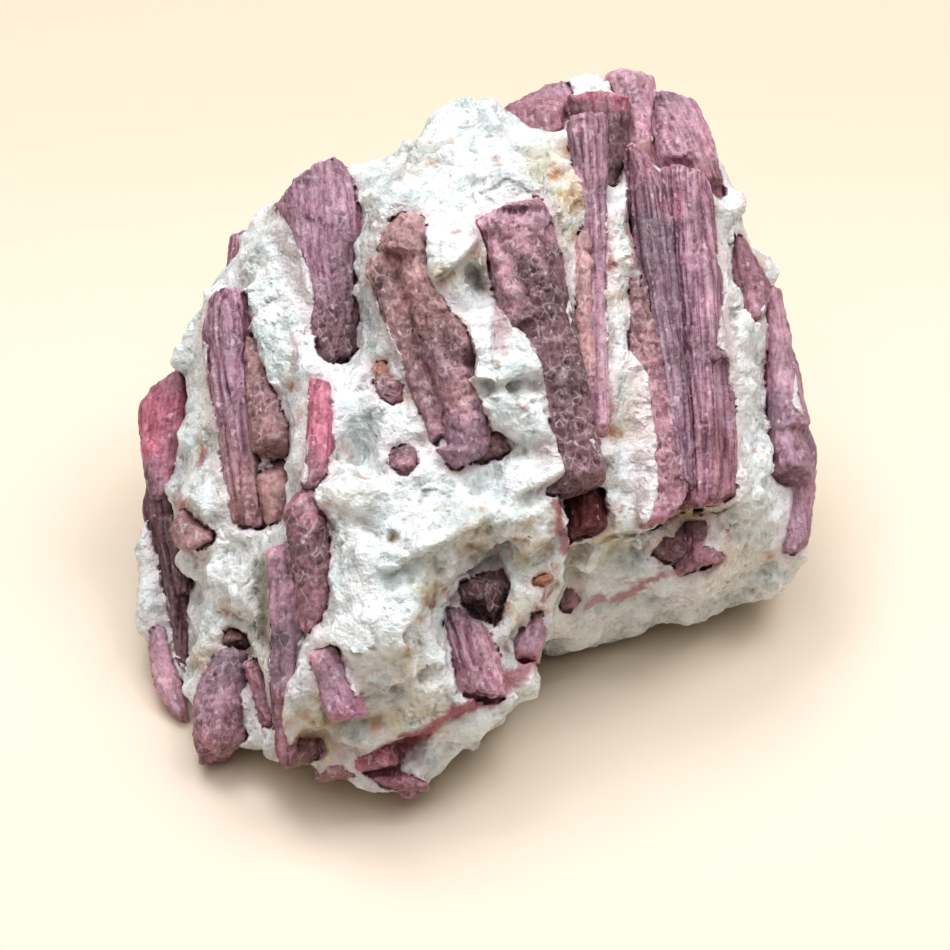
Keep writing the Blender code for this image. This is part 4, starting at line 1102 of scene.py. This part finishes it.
def stain(mesh, points, normals, gaps):
    """Stores how strong each stain and each patch of painted shade is at each point of the rock.
    """
    places = face_places(points)
    front = smooth(-0.3, 0.1, normals @ OUT) * smooth(-22, -18, places[:, 2])
    ragged = places.copy()
    ragged[:, 0] += 0.5 * fractal(points, 1.4, 3, 21)
    ragged[:, 1] += 0.5 * fractal(points, 1.4, 3, 22)
    wander = 1 + 1.2 * fractal(points, 1.5, 3, 5)
    general = smooth(0.2, 0.7, fractal(points, 9, 3, 8)) * 0.25
    rust = spots(places, front, RUST) * wander
    rust += smooth(0.6, 0.8, fractal(points, 3, 3, 12)) * 0.4
    values = {
        # Creamy stains, and painted shade in the spots under ledges and overhangs
        "cream_and_shade": spots(places, front, CREAM_STAINS_AND_SHADE) * wander + general,
        "rust": rust,
        "blush": smooth(1.5, 0.35, gaps + 0.6 * fractal(points, 2.2, 3, 3)) * 0.35,
        "seam": strokes(ragged, front, SEAMS, 0.6),
        # Painted shade in the hollows, gullies and under the ledges
        "gully_shade": 0.8 * strokes(ragged, front, GULLY_SHADE, 1.3),
    }
    for name, strength in values.items():
        keep_values(mesh, name, np.clip(strength, 0, 1))


def seen_surface():
    """The plain stone's faces, to lay a plate where the eye sees it."""
    bm = bmesh.new()
    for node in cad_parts.values():
        bm.from_mesh(node.data)
    tree = BVHTree.FromBMesh(bm)
    bm.free()
    return tree


def on_stone(surface, across, up, height):
    """The point that lies so high above the stone's surface, on the eye's line there."""
    eye = from_face(0, 0, EYE_DISTANCE)
    toward = (from_face(across, up, 0) - eye).normalized()
    hit = surface.ray_cast(eye, toward)[0]
    if hit is None:
        raise RuntimeError(f"nothing of the stone is seen at {across}, {up}")
    return hit - toward * height * MM


def from_face(across, up, out):
    """A place on the broad face, in mm, as a place in the scene."""
    y = math.cos(FACE_SLOPE) * up - math.sin(FACE_SLOPE) * out
    z = math.sin(FACE_SLOPE) * up + math.cos(FACE_SLOPE) * out
    return (Vector((across, y, z)) + Vector(FACE_PLACE)) * MM


def add_plates(bm, rise):
    """Broken plates that stand on the rock, each the hull of its upper edge and its foot."""
    surface = seen_surface()
    for corners in PLATES:
        top = [on_stone(surface, across, up, height * rise) for across, up, height in corners]
        middle = sum(top, Vector()) / len(top)
        foot = [on_stone(surface, across, up, -PLATE_DEPTH) for across, up, _ in corners]
        add_hull(bm, top + foot + [middle])


def add_hull(bm, corners):
    """The closed hull of some points, as a lump of its own."""
    made = [bm.verts.new(point) for point in corners]
    hull = bmesh.ops.convex_hull(bm, input=made)
    inner = {v for v in hull["geom_interior"] if isinstance(v, bmesh.types.BMVert)}
    bmesh.ops.delete(bm, geom=list(inner), context="VERTS")


def add_blocks(bm, mesh, look, crystals):
    """Broken blocks all over the rock, clear of the crystals, long the way its blades run."""
    chance = random.Random(5)
    stone = points_of(mesh)
    low, high = stone.min(axis=0), stone.max(axis=0)
    areas = [face.area for face in mesh.polygons]
    for face in chance.choices(mesh.polygons, areas, k=look.blocks):
        shares = [chance.random() + 0.01 for _ in face.vertices]
        place = sum((mesh.vertices[v].co * share for v, share in zip(face.vertices, shares)),
                    Vector()) / sum(shares)
        wild = Vector([chance.gauss(0, 0.22) for _ in range(3)])
        run = (Vector(BLADE_RUN) + wild).normalized()
        up = (face.normal + Vector([chance.gauss(0, 0.28) for _ in range(3)])).normalized()
        run = (run - 0.8 * up * run.dot(up)).normalized()
        side = up.cross(run).normalized()
        up = run.cross(side)
        large = chance.uniform(0.3, 1.25)
        size = look.block_size * large
        halves = size * chance.uniform(0.5, 1.0), size * chance.uniform(0.28, 0.5), size * 0.4
        stand = look.block_height * chance.uniform(-0.4, 1) * (0.5 + 0.5 * large)
        middle = place + face.normal * (stand - halves[2])
        corners = [
            middle + sum((way * half * sign * chance.uniform(0.7, 1) for way, half, sign
                          in zip((run, side, up), halves, signs)), Vector())
            for signs in product((-1, 1), repeat=3)
        ]
        clear = crystals.find_nearest(place)[3] > look.block_clear
        inside = np.all(low < np.min(corners, axis=0)) and np.all(np.max(corners, axis=0) < high)
        if clear and inside and min(corner.z for corner in corners) > TABLE_ROOM:
            add_hull(bm, corners)


def rock_blank(look, crystals):
    """The CAD rock, the plates and blocks on it and all the crystals, as one closed skin."""
    mesh = merged_copy("matrix")
    bm = bmesh.new()
    bm.from_mesh(mesh)
    add_plates(bm, look.plate_rise)
    add_blocks(bm, mesh, look, crystals)
    for name in CRYSTALS:
        bm.from_mesh(bpy.data.objects[f"tourmaline_{name}"].data)
    bm.to_mesh(mesh)
    bm.free()
    piece = new_piece("albite_rock", mesh)
    even_out(piece, look.skin)
    even_out(piece, look.skin, 0, look.closing)
    shrink = piece.modifiers.new("back to size", "DISPLACE")
    shrink.mid_level = 0
    shrink.strength = -look.closing
    evaluated(piece)
    return piece


def set_crystals_in(mesh, look, crystals):
    """Raises the rock against the crystals' sides, and tucks its skin under theirs."""
    points, normals = points_of(mesh), points_of(mesh, "normal")
    front = smooth(0, 0.5, normals @ OUT)
    table = smooth(0.2, 1.2, points[:, 2] / MM)
    gaps, out = beside(points, crystals)
    lap = np.clip(0.4 + 1.1 * fractal(points, 3, 3, 9), 0, 1.2)
    rise = look.lap_height * smooth(2.4, 0.5, gaps) * smooth(0.1, 0.4, gaps) * front * table * lap
    rise += dent_lift(face_places(points), front) * smooth(0.1, 0.6, gaps)
    under = look.tuck * smooth(0.5, 0.2, gaps)
    moved = points + rise[:, None] * OUT - under[:, None] * out
    move_points(mesh, bared(moved, normals, crystals, deepest=2.5, under=0.6))


def blade_places(points):
    """Places drawn out along the way that the rock's blades run."""
    run = np.array(BLADE_RUN)
    return points - 0.5 * (points @ run)[:, None] * run


def undercut(points):
    """Draws the stone in near the table, so that its lower rim hangs a little over it."""
    middle = np.array((0.0, 4.0 * MM))
    low = smooth(RIM_HEIGHT, 0, points[:, 2] / MM)
    inward = points.copy()
    inward[:, :2] = middle + (points[:, :2] - middle) * (1 - RIM_SHARE * low)[:, None]
    return inward


def dress_rock(look):
    """The rock: plates and hollows on the broad face, long broken blades and sugary grain."""
    crystals = crystal_surface()
    piece = rock_blank(look, crystals)
    set_crystals_in(piece.data, look, crystals)
    mesh = even_out(piece, look.skin, 1)
    points, normals = points_of(mesh), points_of(mesh, "normal")
    gaps, _ = beside(points, crystals)
    _, _, lean, own = cells(blade_places(points), look.blade_size / MM, 1)
    chip = cells(points, look.chip_size / MM, 2)[2]
    sugar = cells(points, look.sugar_size / MM, 3)
    rough = smooth(-0.3, 0.35, fractal(points, 7, 3, 14))
    lift = look.blade_height * (lean + 0.5 * (own - 0.5)) * (0.35 + 0.65 * rough)
    lift += look.chip_height * chip * (0.3 + 0.7 * rough)
    lift += look.sugar_height * (0.4 - sugar[0] + 0.6 * sugar[2])
    lift += 0.25 * MM * fractal(points, 4.5, 4, 4)
    lift += ledge_lift(face_places(points), smooth(0, 0.4, normals @ OUT))
    lift *= smooth(0.2, 1.2, points[:, 2] / MM) * smooth(0.15, 0.9, gaps)
    moved = points + normals * lift[:, None]
    moved = undercut(bared(moved, normals, crystals, deepest=1.8, under=0.5))
    moved[:, 2] = np.maximum(moved[:, 2], 0)
    move_points(mesh, moved)
    # How deep each point lies in a crease, stored for the painted shade in the creases
    depth = hollows(mesh, moved, points_of(mesh, "normal"))
    keep_values(mesh, "hollow_shade", smooth(0.0, 0.09, depth))
    stain(mesh, moved, normals, gaps)
    thin = piece.modifiers.new("thin out", "DECIMATE")
    thin.ratio = min(1, look.triangles / (2 * len(mesh.polygons)))
    evaluated(piece)
    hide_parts("matrix")
    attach(piece, "root")
    return piece


class SPECIMEN_OT_crystals(bpy.types.Operator):
    """Dress every tourmaline crystal with ribs, pebbly cells and its own tints"""
    bl_idname = "specimen.crystals"
    bl_label = "Tourmaline crystals"

    def execute(self, context):
        look = context.scene.specimen_tourmaline
        made = tourmaline_material(look)
        for name in CRYSTALS:
            piece = dress_crystal(name, look)
            piece.data.materials.clear()
            piece.data.materials.append(made)
        return {"FINISHED"}


class SPECIMEN_OT_rock(bpy.types.Operator):
    """Dress the white rock with broken flats, sugary grain, stains and painted shade"""
    bl_idname = "specimen.rock"
    bl_label = "Albite rock"

    def execute(self, context):
        look = context.scene.specimen_albite
        piece = dress_rock(look)
        piece.data.materials.clear()
        piece.data.materials.append(albite_material(look))
        return {"FINISHED"}


class SPECIMEN_OT_stage(bpy.types.Operator):
    """Lay the pale floor, hang the lamps and set the camera"""
    bl_idname = "specimen.stage"
    bl_label = "Stage"

    def execute(self, context):
        look = context.scene.specimen_stage
        bm = bmesh.new()
        bmesh.ops.create_grid(bm, x_segments=1, y_segments=1, size=2)
        mesh = bpy.data.meshes.new("floor")
        bm.to_mesh(mesh)
        bm.free()
        floor = new_piece("floor", mesh)
        floor.data.materials.append(floor_material(look))
        world = bpy.data.worlds.new("soft daylight")
        world.use_nodes = True
        tree = world.node_tree
        away = add(tree, "TexCoord").outputs["Generated"]
        level = add(tree, "VectorMath", {0: away, 1: (0.0, -0.08, 1.0)},
                    operation="DOT_PRODUCT")
        overhead = steps(tree, level.outputs["Value"], 0.5, 1.0)
        sky = tree.nodes["Background"]
        tree.links.new(blend(tree, overhead, (1.0, 0.84, 0.68, 1), (0.93, 0.97, 1.0, 1)),
                       sky.inputs[0])
        tree.links.new(
            sums(tree, "MULTIPLY_ADD", overhead, look.sky, look.horizon), sky.inputs[1]
        )
        context.scene.world = world
        context.scene.view_settings.view_transform = "Standard"
        context.scene.view_settings.look = "High Contrast"
        hang_lamp("key", KEY_PLACE, look.key)
        hang_lamp("fill", FILL_PLACE, look.fill)
        place_camera(context.scene)
        return {"FINISHED"}


def hang_lamp(name, place, power):
    """A large square lamp aimed at the middle of the stone."""
    data = bpy.data.lights.new(name, "AREA")
    data.size = LAMP_SIZE
    data.energy = power
    lamp = bpy.data.objects.new(name, data)
    bpy.context.scene.collection.objects.link(lamp)
    lamp.location = place
    aim = LAMP_AIM - lamp.location
    lamp.rotation_euler = aim.to_track_quat("-Z", "Y").to_euler()


def place_camera(scene):
    """The eye looks square at the broad face from 450 mm."""
    data = bpy.data.cameras.new("eye")
    data.lens = data.sensor_width * EYE_DISTANCE / WIDTH_SEEN
    eye = bpy.data.objects.new("eye", data)
    scene.collection.objects.link(eye)
    middle = Vector(FACE_PLACE * MM)
    eye.matrix_world = (
        Matrix.Translation(middle) @ Matrix.Rotation(FACE_SLOPE, 4, "X")
        @ Matrix.Translation((0, 0, EYE_DISTANCE * MM))
    )
    scene.camera = eye


class SPECIMEN_PT_panel(bpy.types.Panel):
    """The steps that dress the specimen, in order"""
    bl_idname = "SPECIMEN_PT_panel"
    bl_label = "Pink tourmaline specimen"
    bl_space_type = "VIEW_3D"
    bl_region_type = "UI"
    bl_category = "Specimen"

    def draw(self, context):
        for step in STEPS:
            self.layout.operator(step.bl_idname)
        for group in ("specimen_tourmaline", "specimen_albite", "specimen_stage"):
            look = getattr(context.scene, group)
            box = self.layout.box()
            for name in look.__annotations__:
                box.prop(look, name)


LOOKS = {
    "specimen_tourmaline": TourmalineLook,
    "specimen_albite": AlbiteLook,
    "specimen_stage": StageLook,
}
STEPS = (SPECIMEN_OT_crystals, SPECIMEN_OT_rock, SPECIMEN_OT_stage)


def register():
    for name, look in LOOKS.items():
        bpy.utils.register_class(look)
        setattr(bpy.types.Scene, name, PointerProperty(type=look))
    for made in (*STEPS, SPECIMEN_PT_panel):
        bpy.utils.register_class(made)


def unregister():
    for made in (SPECIMEN_PT_panel, *reversed(STEPS)):
        bpy.utils.unregister_class(made)
    for name, look in LOOKS.items():
        delattr(bpy.types.Scene, name)
        bpy.utils.unregister_class(look)


def main():
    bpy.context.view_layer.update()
    register()
    bpy.ops.specimen.crystals()
    bpy.ops.specimen.rock()
    bpy.ops.specimen.stage()


if __name__ == "__main__":
    main()
